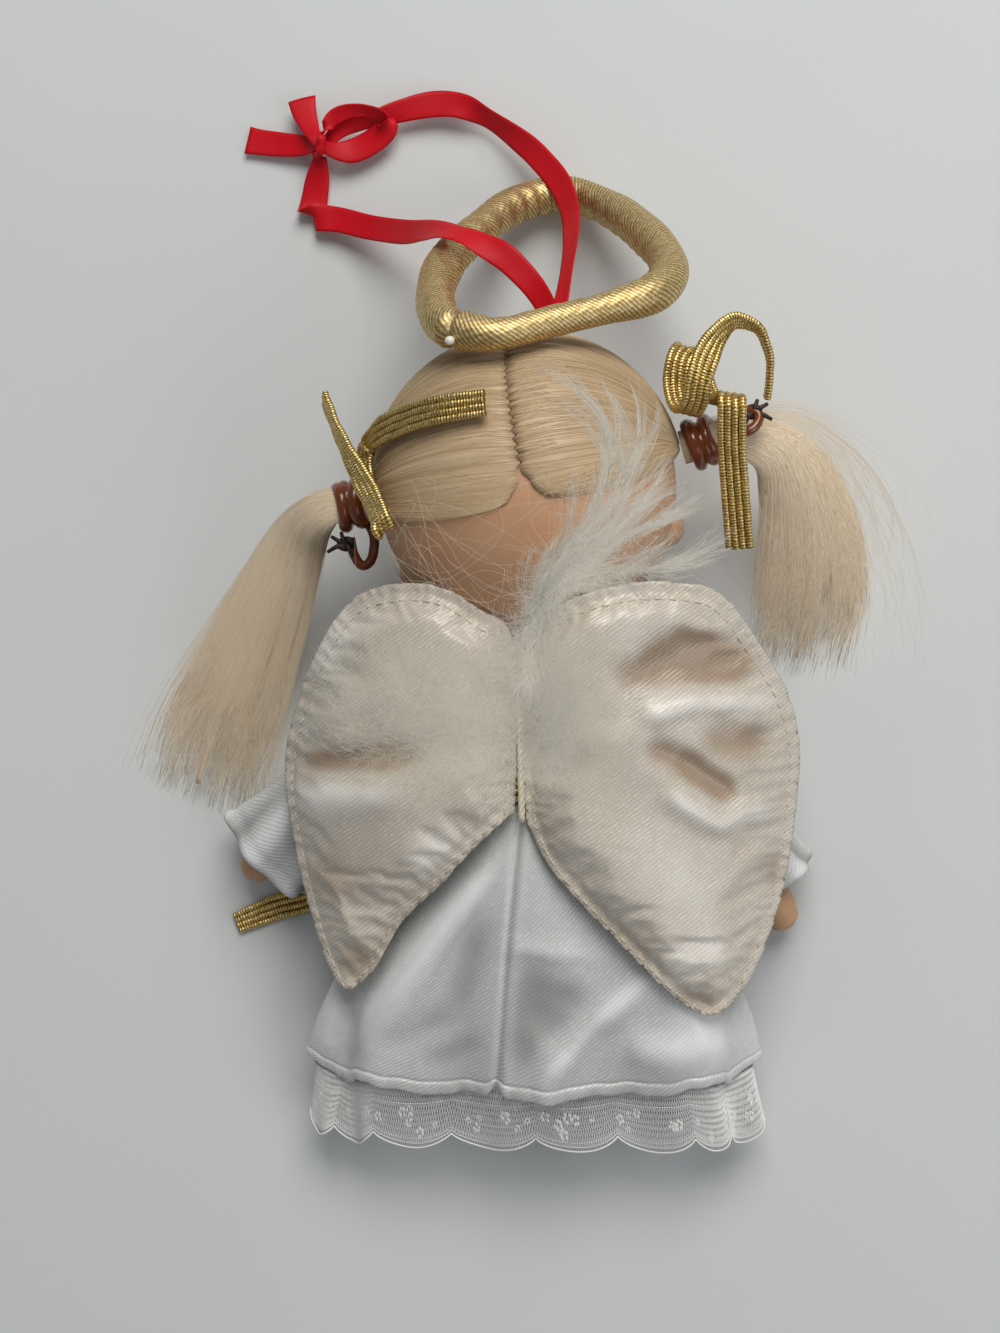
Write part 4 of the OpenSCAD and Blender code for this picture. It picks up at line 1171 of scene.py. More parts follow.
@dataclass
class Sleeve:
    """Bell sleeve of white satin over a vinyl arm."""

    side: Side
    spread: float
    lean: float = math.radians(12)
    cuff_w: float = 13.0
    long: float = 31.8
    over: float = 3.1

    def way(self, spread: float, lean: float) -> Array:
        """Direction along the arm in the doll's frame, for the right side."""
        flat = math.cos(lean)
        return np.array([math.sin(spread) * flat, -math.cos(spread) * flat, -math.sin(lean)])

    def rings(self, inward: float, cols: int) -> Array:
        """Rings of the sleeve in the shared frame."""
        rows = smooth_line([[-3.1, 3.8, 3.9, 1], [-1.5, 4.6, 4.7, 0.6], [1.6, 4.9, 4.9, 0],
                            [6, 5.3, 5.2, 0], [12, 5.6, 5.3, 0], [18, 5.9, 5.3, 0],
                            [23, self.cuff_w * 0.48, 5.2, 0], [self.long - 3.4, self.cuff_w * 0.52, 5, 0],
                            [self.long, self.cuff_w * 0.56, 4.7, 0]], 5)
        turn = full_turn(cols)
        flip = np.array([self.side.value, 1, 1])
        height = np.sin(turn) * np.where(np.sin(turn) < 0, 0.94, 1.0)
        made = []
        for along, half_w, half_h, turned in rows:
            m = flip * self.way(self.spread + (math.pi / 2 - self.spread) * turned, self.lean * (1 - turned))
            u = unit(UP - m * m[2])
            share = share_of(along / self.long)
            fold = 0.55 * share ** 1.5 * np.cos(6 * turn + 2 * share) + 0.18 * np.cos(3 * turn + 9 * share)
            past = along - self.long
            out = fold + 0.3 * bell(past + 0.7, 0.5) - 0.15 * bell(past + 1.7, 0.3) - inward
            p = SHOULDER * flip + m * along + np.cross(u, m) * ((half_w + out) * np.cos(turn))[:, None]
            p = lying(p + u * ((half_h + out) * height)[:, None])
            p[:, 2] = np.maximum(p[:, 2], 0.1 + inward)
            made.append(p)
        return np.array(made)

    def build(self) -> None:
        """Make the sleeve."""
        cols = 72
        outer = self.rings(0.0, cols)
        n = len(outer)
        u = np.tile(np.arange(cols) * 0.5, 2 * n)
        v = np.repeat(np.concatenate([np.arange(n), np.arange(n)[::-1]]) * 0.8, cols)
        # Painted shade in the hollows and painted highlight on the crests of the sleeve's folds
        share = share_of(np.linspace(-0.1, 1, n))[:, None]
        turn = full_turn(cols)
        level = share * 0.7 * np.cos(6 * turn + 2 * share) + 0.3 * np.cos(3 * turn + 9 * share)
        piece = build_mesh(f"bell_sleeve_{self.side.word}", WHITE, *shell_mesh(outer, self.rings(0.5, cols)),
                           np.stack([u, v], axis=1), np.concatenate([level, level[::-1]]))
        carry(piece, f"arm_{self.side.word}", "white_satin", f"sleeve_{self.side.word}")


@dataclass
class Braid:
    """Flat gold braid of four plaited cords that follows rows of places."""

    name: str
    body: str
    node: str
    rows: list
    width: float = 3.4
    cords: int = 4
    closed: bool = False
    step: float = 0.16

    def build(self, place: Callable[[list], Array]) -> Piece:
        """Make the braid.

        Args:
            place: function that moves the rows into the shared frame.

        Returns:
            The braid as one piece.
        """
        line = spaced_line(smooth_line(place(self.rows), 10, self.closed), self.step)
        if self.closed:
            line = line[:-1]
        way = unit(np.gradient(line[:, :3], axis=0))
        across = unit(line[:, 3:6] - way * (line[:, 3:6] * way).sum(1)[:, None])
        face = np.cross(way, across)
        along = np.arange(len(line)) * self.step
        each = self.width / self.cords
        sides = 10
        parts = []
        for k in range(self.cords):
            shift = (k - (self.cords - 1) / 2) * each
            lean = -1 if k % 2 else 1
            mid = line[:, :3] + across * (shift * line[:, 6])[:, None]
            mid = mid + face * (0.05 * np.cos(along * TAU / 4.1 + k * 1.7))[:, None]
            plait = 1 + 0.045 * np.cos(along[:, None] * TAU / 0.62 + lean * full_turn(sides))
            parts.append(tube_mesh(mid, each * 0.53 * plait * line[:, 6:7] ** 0.5, sides, self.closed))
        return carry(build_mesh(self.name, BRAID, *joined(parts)), self.body, "gold_braid", self.node)


def sashed(rows: list) -> Array:
    """Rows of the sash bow, from the middle of the sash at the front.

    Args:
        rows: place across, along and in depth, then the other numbers; a negative depth is a height above the
            table.

    Returns:
        The rows in the shared frame.
    """
    r = np.array(rows, float)
    p = lying(np.stack([r[:, 0], r[:, 1] + SASH_Y, -9.9 - r[:, 2]], axis=1))
    p[:, 2] = np.where(r[:, 2] < 0, -r[:, 2], p[:, 2])
    return np.concatenate([p, r[:, 3:]], axis=1)


def sash_ring(rows: list) -> Array:
    """Closed ring of the sash round the waist; each row is an angle and a radius."""
    made = []
    for angle, radius in rows:
        p = lying(np.array([radius * math.cos(angle), SASH_Y, radius * math.sin(angle)]))
        made.append(np.concatenate([p, [0, math.cos(LIE), math.sin(LIE)], [1.0]]))
    return np.array(made)


BOW_LEFT = [[-2.4, 7.5, 38.8, 0.1, 1, 0, 0.9], [-9, 6.9, 37.2, 0.1, 1, 0, 1],
            [-14.9, 5.9, 32.8, 0.1, 1, 0.2, 1], [-17.6, 4.6, 29.6, 0.35, 0.8, 0.5, 0.8],
            [-18.5, 2.4, 28.4, 0.6, 0.5, 0.6, 0.9], [-18.1, -0.3, 28.8, 0.6, 0.5, 0.62, 0.9],
            [-16.9, -3.1, 30.3, 0.55, 0.5, 0.65, 0.9], [-15.9, -5.1, 31.8, 0.55, 0.5, 0.65, 0.9],
            [-15.2, -6.1, 33.1, 0.55, 0.5, 0.65, 0.9], [-15.4, -5.1, 33.7, 0.55, 0.5, 0.65, 0.9],
            [-16.5, -2.9, 32.4, 0.55, 0.5, 0.65, 1], [-18.2, -0.1, 31.2, 0.6, 0.45, 0.62, 1],
            [-20.1, 3.2, 30.2, 0.5, 0.3, 0.8, 0.85], [-22, 6.7, 28.4, 0.36, 0.16, 0.92, 0.8],
            [-23.8, 10.6, 26.4, 0.36, 0.16, 0.92, 0.8]]
BOW_RIGHT = [[29.3, 10.2, 21.6, 0.12, 0.05, 0.99, 0.8], [29.7, 12.8, 22.6, 0.1, 0.05, 0.99, 0.8],
             [29.5, 15.6, 23.8, 0.1, 0.1, 0.99, 0.8], [28.3, 17.9, 25, 0.05, 0.15, 0.98, 0.85],
             [25.9, 18.7, 26, -0.1, 0.3, 0.94, 0.9], [23.9, 17, 27.2, -0.45, 0.2, 0.86, 1],
             [22.5, 14.4, 28, -0.85, 0.1, 0.5, 1], [21.5, 11.4, 28, -0.87, 0, 0.5, 1],
             [20.9, 9, 26.8, -0.87, 0.1, 0.5, 1], [20, 8.2, 24.8, -0.87, 0.1, 0.5, 1],
             [19, 9.4, 23.4, -0.87, 0.1, 0.5, 1], [18.5, 11.9, 23, -0.87, 0.1, 0.5, 1],
             [18.9, 14.7, 23.2, -0.87, 0.1, 0.5, 1], [19.7, 16.2, 22, -0.87, 0.1, 0.5, 0.9],
             [20.5, 15.8, 20.4, -0.9, 0.1, 0.4, 0.9], [21.2, 13.6, 19.8, -0.95, 0.2, 0.2, 0.9],
             [22, 11.2, 20.6, -1, 0.3, 0.1, 0.9], [23, 9.7, 22.4, -1, 0.3, 0, 0.9],
             [24.4, 9.4, 24.6, -1, 0.3, 0, 0.9], [25.2, 9.7, 26.8, -1, 0.2, 0, 0.9],
             [25.4, 8.4, 28.6, -1, 0.1, -0.1, 1], [25.3, 4.3, 27.2, -1, 0, -0.2, 1],
             [25.5, -0.2, 25.4, -1, 0, -0.2, 1], [26, -8, 22.6, -1, -0.1, -0.2, 1]]
SASH_BOW = [[-41, -21, -0.6, 0.3, -1, 0, 0.8], [-36, -19, -0.5, 0.4, -1, 0, 1],
            [-30, -17, -0.5, 0.6, -1, 0, 1], [-23, -11.2, -0.7, 0.7, -1, 0, 1],
            [-14.5, -2.8, 0.9, 0.5, -1, 0, 0.9], [-6, -0.2, 0.8, 0.1, -1, 0, 0.9],
            [0, 0, 0.7, 0, -1, 0, 0.7], [5, 0.2, 0.8, 0, -1, 0, 1], [9, 0.1, 1.1, 0, -1, 0, 1],
            [9.9, 0, 1.5, 0, -1, 0, 1], [8.8, -0.1, 1.9, 0, -1, 0, 1], [5, -0.2, 1.9, 0, -1, 0, 1],
            [0, 0, 1.6, 0, -1, 0, 0.7], [-5, 0.2, 1.9, 0, -1, 0, 1], [-8.8, 0, 2, 0, -1, 0, 1]]


@dataclass
class HairPanel:
    """Hair rooted along the parting and combed over one side of the head to its band."""

    side: Side
    lines: int = 250
    steps: int = 34
    loose: int = 560
    fringe: int = 140
    nape_from: float = 0.93

    def roots(self, v: Array) -> Array:
        """Directions of the roots in the upright head's frame, from forehead to nape."""
        slope, tilt = math.radians(22), math.radians(12)
        edge = np.array([math.sin(slope) * math.cos(tilt), math.cos(slope) * math.cos(tilt), math.sin(tilt)])
        part = share_of(v / self.nape_from)
        phi = np.radians(-66 + part * 150)
        along_part = np.stack([0.006 + 0 * phi, np.cos(phi), np.sin(phi)], axis=-1)
        low = share_of((v - self.nape_from) / 0.07)
        beta = np.radians(84) * (1 - low) + np.radians(78) * low
        across = unit(np.cross(edge, UP))
        back = unit(UP - edge * edge[2])
        nape = edge * 0.206 + 0.978 * (back * np.sin(beta)[..., None] + across * np.cos(beta)[..., None])
        mix = share_of((v - 0.91) / 0.04)[..., None]
        root = unit(along_part * (1 - mix) + nape * mix) * np.array([self.side.value, 1, 1])
        # The parting leans to the right, and the plugs of hair along it make a fine zigzag
        root[..., 0] += 0.045 + 0.065 * part ** 2 + 0.013 * np.sin(105 * phi) * (1 - low)
        return unit(root)

    def combed(self, v: Array, u: Array) -> Array:
        """Directions along the combing lines, from the root at 0 to the band at 1."""
        root = self.roots(v)
        band = np.array([self.side.value * math.cos(BAND_RISE), math.sin(BAND_RISE), 0.0])
        dot = np.clip((root * band).sum(-1), -1, 1)
        angle = np.arccos(dot)[..., None]
        t = u[..., None]
        return unit((np.sin((1 - t) * angle) * root + np.sin(t * angle) * band) / np.sin(angle))

    def sheet(self) -> Piece:
        """Close mass of combed hair as one thick sheet with strand ridges."""
        v, u = np.linspace(0, 1, self.lines), np.linspace(0, 0.955, self.steps)
        v, u = np.meshgrid(v, u, indexing="ij")
        way = self.combed(v, u)
        rng = Seed.COMBED.draws(self.side)
        own = np.arange(self.lines)
        ridge = 0.045 * rng.standard_normal(self.lines)
        ridge = ridge + 0.06 * np.sin(own * 0.55) + 0.12 * np.sin(own * 0.17 + 2)
        lift = 0.35 + 0.75 * share_of(u / 0.18) ** 0.6 + ridge[:, None] * share_of(u * 5) * (1 - 0.6 * u)
        rim = share_of(np.minimum(v, 1 - v) / 0.02)
        lift = 0.1 + (lift - 0.1) * rim ** 0.5
        points, faces = pad_mesh(on_head(way * (HEAD_R + lift)[..., None]), on_head(way * (HEAD_R + 0.06)))
        uv = np.stack([u.ravel() * 26, v.ravel() * 42], axis=1)
        piece = build_mesh(f"combed_hair_{self.side.word}", COMBED, points, faces, np.concatenate([uv, uv]))
        return carry(piece, "head", "blond_hair", f"hair_{self.side.word}")

    def strands(self) -> Piece:
        """Single fibres that lie on the combed mass."""
        rng = Seed.FIBRES.draws(self.side)
        n, each = 20, (self.loose, 1)
        v0 = rng.uniform(0.01, 0.99, self.loose)[:, None]
        v0[:self.fringe] = rng.uniform(0.94, 1.0, (self.fringe, 1))
        u = np.linspace(0.0, 0.96, n)[None, :]
        drift = rng.normal(0, 0.012, each) * np.sin(np.linspace(0, math.pi, n))
        v = share_of(v0 + drift)
        way = self.combed(v, np.broadcast_to(u, v.shape))
        bow = np.sin(u * math.pi)
        lift = 0.45 + 0.7 * share_of(u / 0.16) ** 0.6 + rng.uniform(0.0, 0.16, each) * bow
        # Along the nape some hairs hang a little below the edge of the mass
        hang = share_of((v0 - self.nape_from) / 0.05) * rng.uniform(0.0, 0.07, each) * bow ** 0.7
        way = unit(way + hang[..., None] * np.array([0.0, -1.0, 0.0]))
        lines = on_head(way * (HEAD_R + lift - 10 * hang)[..., None])
        parts = strands_mesh(lines, rng.uniform(0.03, 0.06, each))
        piece = build_mesh(f"hair_fibres_{self.side.word}", HAIR, *parts)
        return airy(carry(piece, "head", "blond_hair"))

    def build(self) -> None:
        """Make the combed mass and its loose fibres."""
        self.sheet()
        self.strands()


def pad_mesh(top: Array, low: Array) -> tuple[Array, list]:
    """Closed sheet between two open grids of the same size."""
    rows, cols, _ = top.shape
    k = rows * cols
    points = np.concatenate([top.reshape(-1, 3), low.reshape(-1, 3)])
    faces = grid_faces(rows, cols)
    walls = [*faces.tolist(), *(faces[:, ::-1] + k).tolist()]
    rim = list(range(cols)) + [i * cols + cols - 1 for i in range(1, rows)]
    rim += [(rows - 1) * cols + j for j in range(cols - 2, -1, -1)]
    rim += [i * cols for i in range(rows - 2, 0, -1)]
    for a, b in zip(rim, rim[1:] + rim[:1]):
        walls.append([b, a, a + k, b + k])
    return points, walls


@dataclass
class Pigtail:
    """Gathered hair that leaves its band and fans out on the table."""

    side: Side
    rows: list
    strands: int = 3200
    locks: int = 120
    slim: float = 1.0
    fan: float = 0.5
    stray: int = 260

    def line(self) -> Array:
        """Middle line with half width and half height."""
        mid = HEAD_MID + band_way(self.side) * 19.5
        start = [np.concatenate([mid + band_way(self.side) * t, [2.2, 2.2]]) for t in (0.0, 3.0, 5.6)]
        return spaced_line(smooth_line([*start, *by_head(self.rows)], 10), 1.0)

    def frames(self, line: Array) -> tuple[Array, Array]:
        """Directions across and up along the middle line."""
        way = unit(np.gradient(line[:, :3], axis=0))
        across = unit(np.cross(way, UP))
        return across, np.cross(across, way)

    def build(self) -> None:
        """Make the solid mass of hair and the fibres round it."""
        line = self.line()
        across, up = self.frames(line)
        n, cols = len(line), 64
        rng = Seed.PIGTAIL.draws(self.side)
        turn = full_turn(cols)
        ridge = 1 + 0.05 * rng.standard_normal(cols) + 0.04 * np.sin(9 * turn)
        thin = share_of((np.linspace(0, 1, n) - 0.4) / 0.4)
        shrink = np.sqrt(np.clip(1 - thin ** 2, 0.004, 1))[:, None] * ridge
        half_w = line[:, 3:4] * 0.76 * self.slim * shrink * np.cos(turn)
        half_h = line[:, 4:5] * 0.8 * shrink * np.sin(turn)
        body = line[:, None, :3] + across[:, None, :] * half_w[..., None] + up[:, None, :] * half_h[..., None]
        body[..., 2] = np.maximum(body[..., 2], 0.1)
        uv = np.stack([np.repeat(np.arange(n) * 1.0, cols), np.tile(np.arange(cols) * 0.5, n)], axis=1)
        mass = build_mesh(f"pigtail_mass_{self.side.word}", TAIL_MASS, body.reshape(-1, 3),
                          capped_faces(n, cols), uv)
        fibres = self.fibres(line, across, up, rng)
        start, end = line[6, :3], line[-4, :3]
        bend_with(mass, "head", "torso", start, end, "blond_hair", f"pigtail_{self.side.word}")
        bend_with(airy(fibres), "head", "torso", start, end, "blond_hair")

    def fibres(self, line: Array, across: Array, up: Array, rng: np.random.Generator) -> Piece:
        """Single fibres, closer at the band and spread at the tip."""
        m = 20
        count = self.strands + self.stray
        each, by_lock = (count, 1), (self.locks, 1)
        share = np.linspace(0, 1, len(line))
        free = (np.arange(count) >= self.strands)[:, None]
        turn = rng.uniform(0, TAU, each)
        spot = np.sqrt(rng.uniform(0.1, 1.0, each)) * np.concatenate([np.cos(turn), np.sin(turn)], axis=1)
        heart = np.sqrt(rng.uniform(0.0, 1.0, by_lock)) * unit(rng.standard_normal((self.locks, 2)))
        lock = np.argmin(((spot[:, None, :] - heart[None]) ** 2).sum(axis=2), axis=1)
        ends = rng.uniform(0.78, 1.07, self.locks)[lock][:, None] - rng.exponential(0.09, each)
        reach = np.where(free, rng.uniform(0.9, 1.06, each), np.clip(ends, 0.55, 1.07))
        step = np.linspace(0, 1, m)[None, :]
        at = step * reach
        pull = np.where(free, 0.0, 0.55 * step ** 3)[..., None]
        spot = spot[:, None, :] * (1 - pull) + heart[lock][:, None, :] * pull
        capped = np.minimum(at, 1)
        over = np.maximum(at - 1, 0)[..., None] * unit(line[-1, :3] - line[-3, :3]) * length_of(line)
        half_w, half_h = np.moveaxis(rows_at(line[:, 3:5], np.minimum(at, 0.9), share), -1, 0)
        wild = rng.normal(0, 1, each) * np.where(free, 1.6, 0.6) * self.fan * at ** 2.2 * 3.0
        wild = wild + rng.normal(0, 1.1, by_lock)[lock] * np.where(free, 0.0, 1.0) * at ** 3
        bend = rng.uniform(4, 9, each)
        wave = np.where(free, 0.7, 0.3) * np.sin(at * bend + rng.uniform(0, 6, each)) * at
        aside = half_w * self.slim * spot[..., 0] * 1.06 + wild + wave
        above = half_h * spot[..., 1] * 1.05 + 0.4 * wave
        p = rows_at(line[:, :3], capped, share) + over + rows_at(across, capped, share) * aside[..., None]
        p = p + rows_at(up, capped, share) * above[..., None]
        if self.side is Side.RIGHT:
            blown = [rng.uniform(1, 14, each), rng.uniform(0, 20, each), np.zeros(each)]
            blown = np.concatenate(blown, axis=1)
            p = p + np.where(free, 1.0, 0.0)[..., None] * blown[:, None, :] * at[..., None] ** 1.4
        p[..., 2] = np.maximum(p[..., 2], 0.12 + rng.uniform(0, 0.5, each))
        radius = rng.uniform(0.03, 0.06, each) * np.linspace(1.0, 0.3, m) * np.where(free, 0.5, 1.0)
        return build_mesh(f"pigtail_fibres_{self.side.word}", TAIL, *strands_mesh(p, radius))


PIGTAIL_LEFT = [[-29.5, -4.6, 14.2, 3.4, 3.2], [-34, -12.2, 10.2, 5, 4], [-39.5, -22.4, 6.6, 6.6, 3.8],
                [-44, -31, 4, 7.4, 2.8], [-46, -36, 2.2, 6.4, 1.2]]
PIGTAIL_RIGHT = [[29.8, 5, 15.6, 3.6, 3.2], [32.8, 0.8, 12, 5.4, 4], [34.2, -6, 8.4, 7, 3.8],
                 [33.8, -13.6, 5, 7.3, 3], [32.4, -20, 2.4, 5, 1.2]]


@dataclass
class Flyaways:
    """Single hairs that have come loose from the bands and lie over the bare nape."""

    count: int = 34

    def build(self) -> None:
        """Make the loose hairs as fine curved strands a little above the skin."""
        rng = Seed.FLYAWAYS.draws()
        n = self.count
        t = np.linspace(0, 1, 18)[None, :, None]
        start = np.stack([rng.uniform(-0.95, 0.35, n), rng.uniform(-0.3, 0.12, n), np.full(n, 0.45)], axis=1)
        end = np.stack([rng.uniform(-0.7, 0.75, n), rng.uniform(-0.72, -0.25, n), np.full(n, 0.62)], axis=1)
        sway = rng.normal(0, 0.2, (n, 1, 3)) * np.sin(t * math.pi)
        sway = sway + rng.normal(0, 0.07, (n, 1, 3)) * np.sin(t * 9)
        way = unit(unit(start)[:, None, :] * (1 - t) + unit(end)[:, None, :] * t + sway)
        lift = 1.35 + rng.uniform(0.0, 1.6, (n, 1, 1)) * np.sin(t * math.pi)
        parts = strands_mesh(on_head(way * (HEAD_R + lift)), rng.uniform(0.014, 0.023, (n, 1)))
        airy(carry(build_mesh("loose_nape_hairs", TAIL, *parts), "head", "blond_hair"))


@dataclass
class RubberBand:
    """Amber latex band wound round the gathered hair, with a dark burnt knot."""

    side: Side
    radius: float = 2.3
    thread: float = 0.85
    turns: float = 2.7

    def build(self) -> None:
        """Make the wound band, its looped end and the knot."""
        way = band_way(self.side)
        middle = HEAD_MID + way * 20.5
        t = np.linspace(0, self.turns, int(self.turns * 40))
        wander = 0.55 * np.sin(t * 5.1) + 0.3 * np.cos(TAU * t + 1)
        r = self.radius + 0.35 * np.sin(t * 4.3)
        coil = middle + way * (t * 1.3 + wander)[:, None] + np.cross(UP, way) * (r * np.cos(TAU * t))[:, None]
        coil = coil + UP * (r * np.sin(TAU * t))[:, None]
        parts = tube_mesh(coil, self.thread * (1 + 0.12 * np.sin(t * 11)), 14)
        piece = build_mesh(f"rubber_band_{self.side.word}", RUBBER, *parts)
        carry(piece, "head", "amber_rubber", f"band_{self.side.word}")
        place, ear = BAND_ENDS[self.side]
        self.knot(by_head([place])[0])
        ends = tube_mesh(smooth_line(by_head(ear), 8), 0.62, 10)
        carry(build_mesh(f"band_ear_{self.side.word}", RUBBER, *ends), "head", "amber_rubber")

    def knot(self, place: Array) -> None:
        """Dark knotted ends that point away from the head."""
        turn = full_turn(24)
        ring = place + np.stack([0.8 * np.cos(turn), 0.55 * np.sin(turn), 0.35 * np.sin(2 * turn)], axis=1)
        parts = [tube_mesh(ring, 0.42, 8, closed=True)]
        flip = np.array([self.side.value, 1, 1])
        for dx, dy in ((2.3, -1.0), (1.8, 0.9), (-0.9, -1.5), (0.6, 1.4)):
            half, tip = np.array([dx * 0.5, dy * 0.4, 0.5]), np.array([dx, dy, 0.2])
            tail = smooth_line([place, place + half * flip, place + tip * flip], 6)
            parts.append(tube_mesh(tail, np.linspace(0.36, 0.22, len(tail)), 7))
        carry(build_mesh(f"band_knot_{self.side.word}", CHARRED, *joined(parts)), "head", "amber_rubber")


# Knot and looped end of each band: the knot's place and rows along the loop
BAND_ENDS = {
    Side.LEFT: ([-22.6, -6.4, 19.2], [[-20.2, -3.4, 18.4], [-19.2, -5.6, 18.6], [-19.6, -8.2, 18.2],
                                      [-20.8, -9, 18.0], [-21.8, -7.6, 18.4], [-22.2, -5.6, 18.6]]),
    Side.RIGHT: ([27.6, 8.4, 22.4], [[24.6, 5.2, 22.2], [26.2, 5.6, 23.2], [27.8, 6.4, 23.2],
                                     [28.4, 7.8, 22.6], [27.6, 8.6, 22.4], [26.4, 8, 22]])}


@dataclass
class Wing:
    """Padded wing of ivory satin, sewn round its edge and gathered at the tie."""

    side: Side
    outline: list
    puff: float = 0.85
    seam: float = 1.35
    spacing: float = 0.72
    body_high: float = 10.35
    rise: float = 2.7
    droop: float = 12.5
    reach: float = 33.0

    def level(self, u: Array) -> Array:
        """Height of the wing's middle sheet at a distance from the tie."""
        w = np.abs(u)
        risen = self.rise * (1 - np.exp((1 - np.maximum(w, 1)) / 4))
        return self.body_high + risen - self.droop * (w / self.reach) ** 2

    def ripple(self, u: Array, v: Array) -> Array:
        """Folds of the satin: those that the eye picks out, and soft ones that spread from the tie."""
        w = np.abs(u)
        angle = np.arctan2(v + 0.5, w + 2.5)
        far = share_of(w / 9) * np.clip((self.reach + 3 - w) / 12, 0.35, 1)
        wave = 0.22 * np.cos(7.4 * angle - 1.15 * self.side.value + 0.05 * w)
        wave = wave + 0.12 * np.sin(0.42 * w + 0.21 * v)
        return creased(u, v, FOLDS[self.side]) + wave * far

    def edge(self, step: float) -> Array:
        """Outline of the flat pattern as evenly spaced points."""
        rim = smooth_line(self.outline, 8, closed=True)
        return spaced_line(np.pad(np.concatenate([rim, rim[:1]]), ((0, 0), (0, 1))), step)[:-1, :2]

    def cut(self) -> tuple[Array, list, Array, Array]:
        """Flat pattern of the wing.

        Returns:
            Points, triangles, the distance of each point from the edge, and the place along it.
        """
        pitch = self.spacing * 0.9
        rim = self.edge(pitch)
        lo, hi = rim.min(axis=0), rim.max(axis=0)
        rng = Seed.CLOTH.draws()
        xs = np.arange(lo[0], hi[0], self.spacing)
        ys = np.arange(lo[1], hi[1], self.spacing * 0.87)
        x, y = np.meshgrid(xs, ys)
        x = x + (np.arange(len(ys)) % 2)[:, None] * self.spacing / 2
        grid = np.stack([x.ravel(), y.ravel()], axis=1) + rng.normal(0, 0.04, (x.size, 2))
        inside = grid[self.within(grid, rim)]
        inside = inside[self.gaps(inside, rim).min(axis=1) > self.spacing * 0.55]
        n = len(rim)
        loops = [(i, (i + 1) % n) for i in range(n)]
        made = delaunay_2d_cdt([Vector(p) for p in np.concatenate([rim, inside])], loops, [], 1, 1e-5)
        points = np.array([tuple(p) for p in made[0]])
        gaps = self.gaps(points, rim)
        return points, [list(f) for f in made[2]], gaps.min(axis=1), gaps.argmin(axis=1) * pitch

    def within(self, p: Array, rim: Array) -> Array:
        """Which points lie inside the outline."""
        a, b = rim, np.roll(rim, -1, axis=0)
        crosses = (a[None, :, 1] > p[:, None, 1]) != (b[None, :, 1] > p[:, None, 1])
        tiny = 1e-9
        lift = np.where(np.abs(b[:, 1] - a[:, 1]) < tiny, tiny, b[:, 1] - a[:, 1])
        x = a[None, :, 0] + (p[:, None, 1] - a[None, :, 1]) / lift[None, :] * (b[None, :, 0] - a[None, :, 0])
        return (crosses & (p[:, None, 0] < x)).sum(axis=1) % 2 == 1

    def gaps(self, p: Array, rim: Array) -> Array:
        """Distance of each point from each point of the outline."""
        return np.linalg.norm(p[:, None, :] - rim[None, :, :], axis=2)

    def pad(self) -> MeshParts:
        """Closed pad in the doll's plane: points with height, faces and flat pattern coordinates."""
        flat, tris, gap, along = self.cut()
        inner = share_of((gap - self.seam) / 4.5)
        rim = gap < 1e-4
        high = 0.3 + self.puff * (1 - (1 - inner) ** 2) - 0.24 * bell(gap - self.seam, 0.45)
        pucker = np.sin(TAU * along / 1.7 + 1.6 * np.sin(along * 0.9) + np.sin(along * 0.37))
        high = high + (0.2 * bell(gap - 0.7, 0.5) + 0.13 * bell(gap - 2.3, 0.9)) * pucker
        high = np.where(rim, 0.0, high)
        low_ids = np.where(rim, np.arange(len(flat)), np.cumsum(~rim) - 1 + len(flat))
        low = np.column_stack([flat, -high * 0.8])[~rim]
        points = np.concatenate([np.column_stack([flat, high]), low])
        turned = [[low_ids[v] for v in f[::-1]] for f in tris]
        return points, [*tris, *turned], np.concatenate([flat, flat[~rim]])

    def placed(self, p: Array) -> Array:
        """Points of the pad laid over the doll's back."""
        u, v, h = p[:, 0], p[:, 1], p[:, 2]
        z = self.level(u) + self.ripple(u, v) + h
        return lying(np.stack([u, v + TIE_Y, z], axis=1))

    def hung(self, piece: Piece, slot: str, *nodes: str) -> Piece:
        """Bake a piece into place and log it as bending at the tie, from the torso to the wing."""
        ends = lying(np.array([[self.side.value * u, TIE_Y, self.body_high] for u in (0.4, 4.4)]))
        return bend_with(piece, "torso", f"wing_{self.side.word}", ends[0], ends[1], slot, *nodes)

    def build(self) -> None:
        """Make the pad and its edge stitches."""
        points, faces, uv = self.pad()
        points = inflate(points, faces)
        # Painted shade in the hollows and painted highlight on the crests of the wing's folds
        level = np.clip(creased(uv[:, 0], uv[:, 1], FOLDS[self.side]) / 1.1, -1, 1)
        piece = build_mesh(f"satin_wing_{self.side.word}", IVORY, self.placed(points), faces, uv, level)
        smoother = piece.modifiers.new("rounding", "SUBSURF")
        smoother.levels = 1
        smoother.render_levels = 1
        self.hung(piece, "ivory_satin", f"wing_{self.side.word}")
        self.stitches(piece)

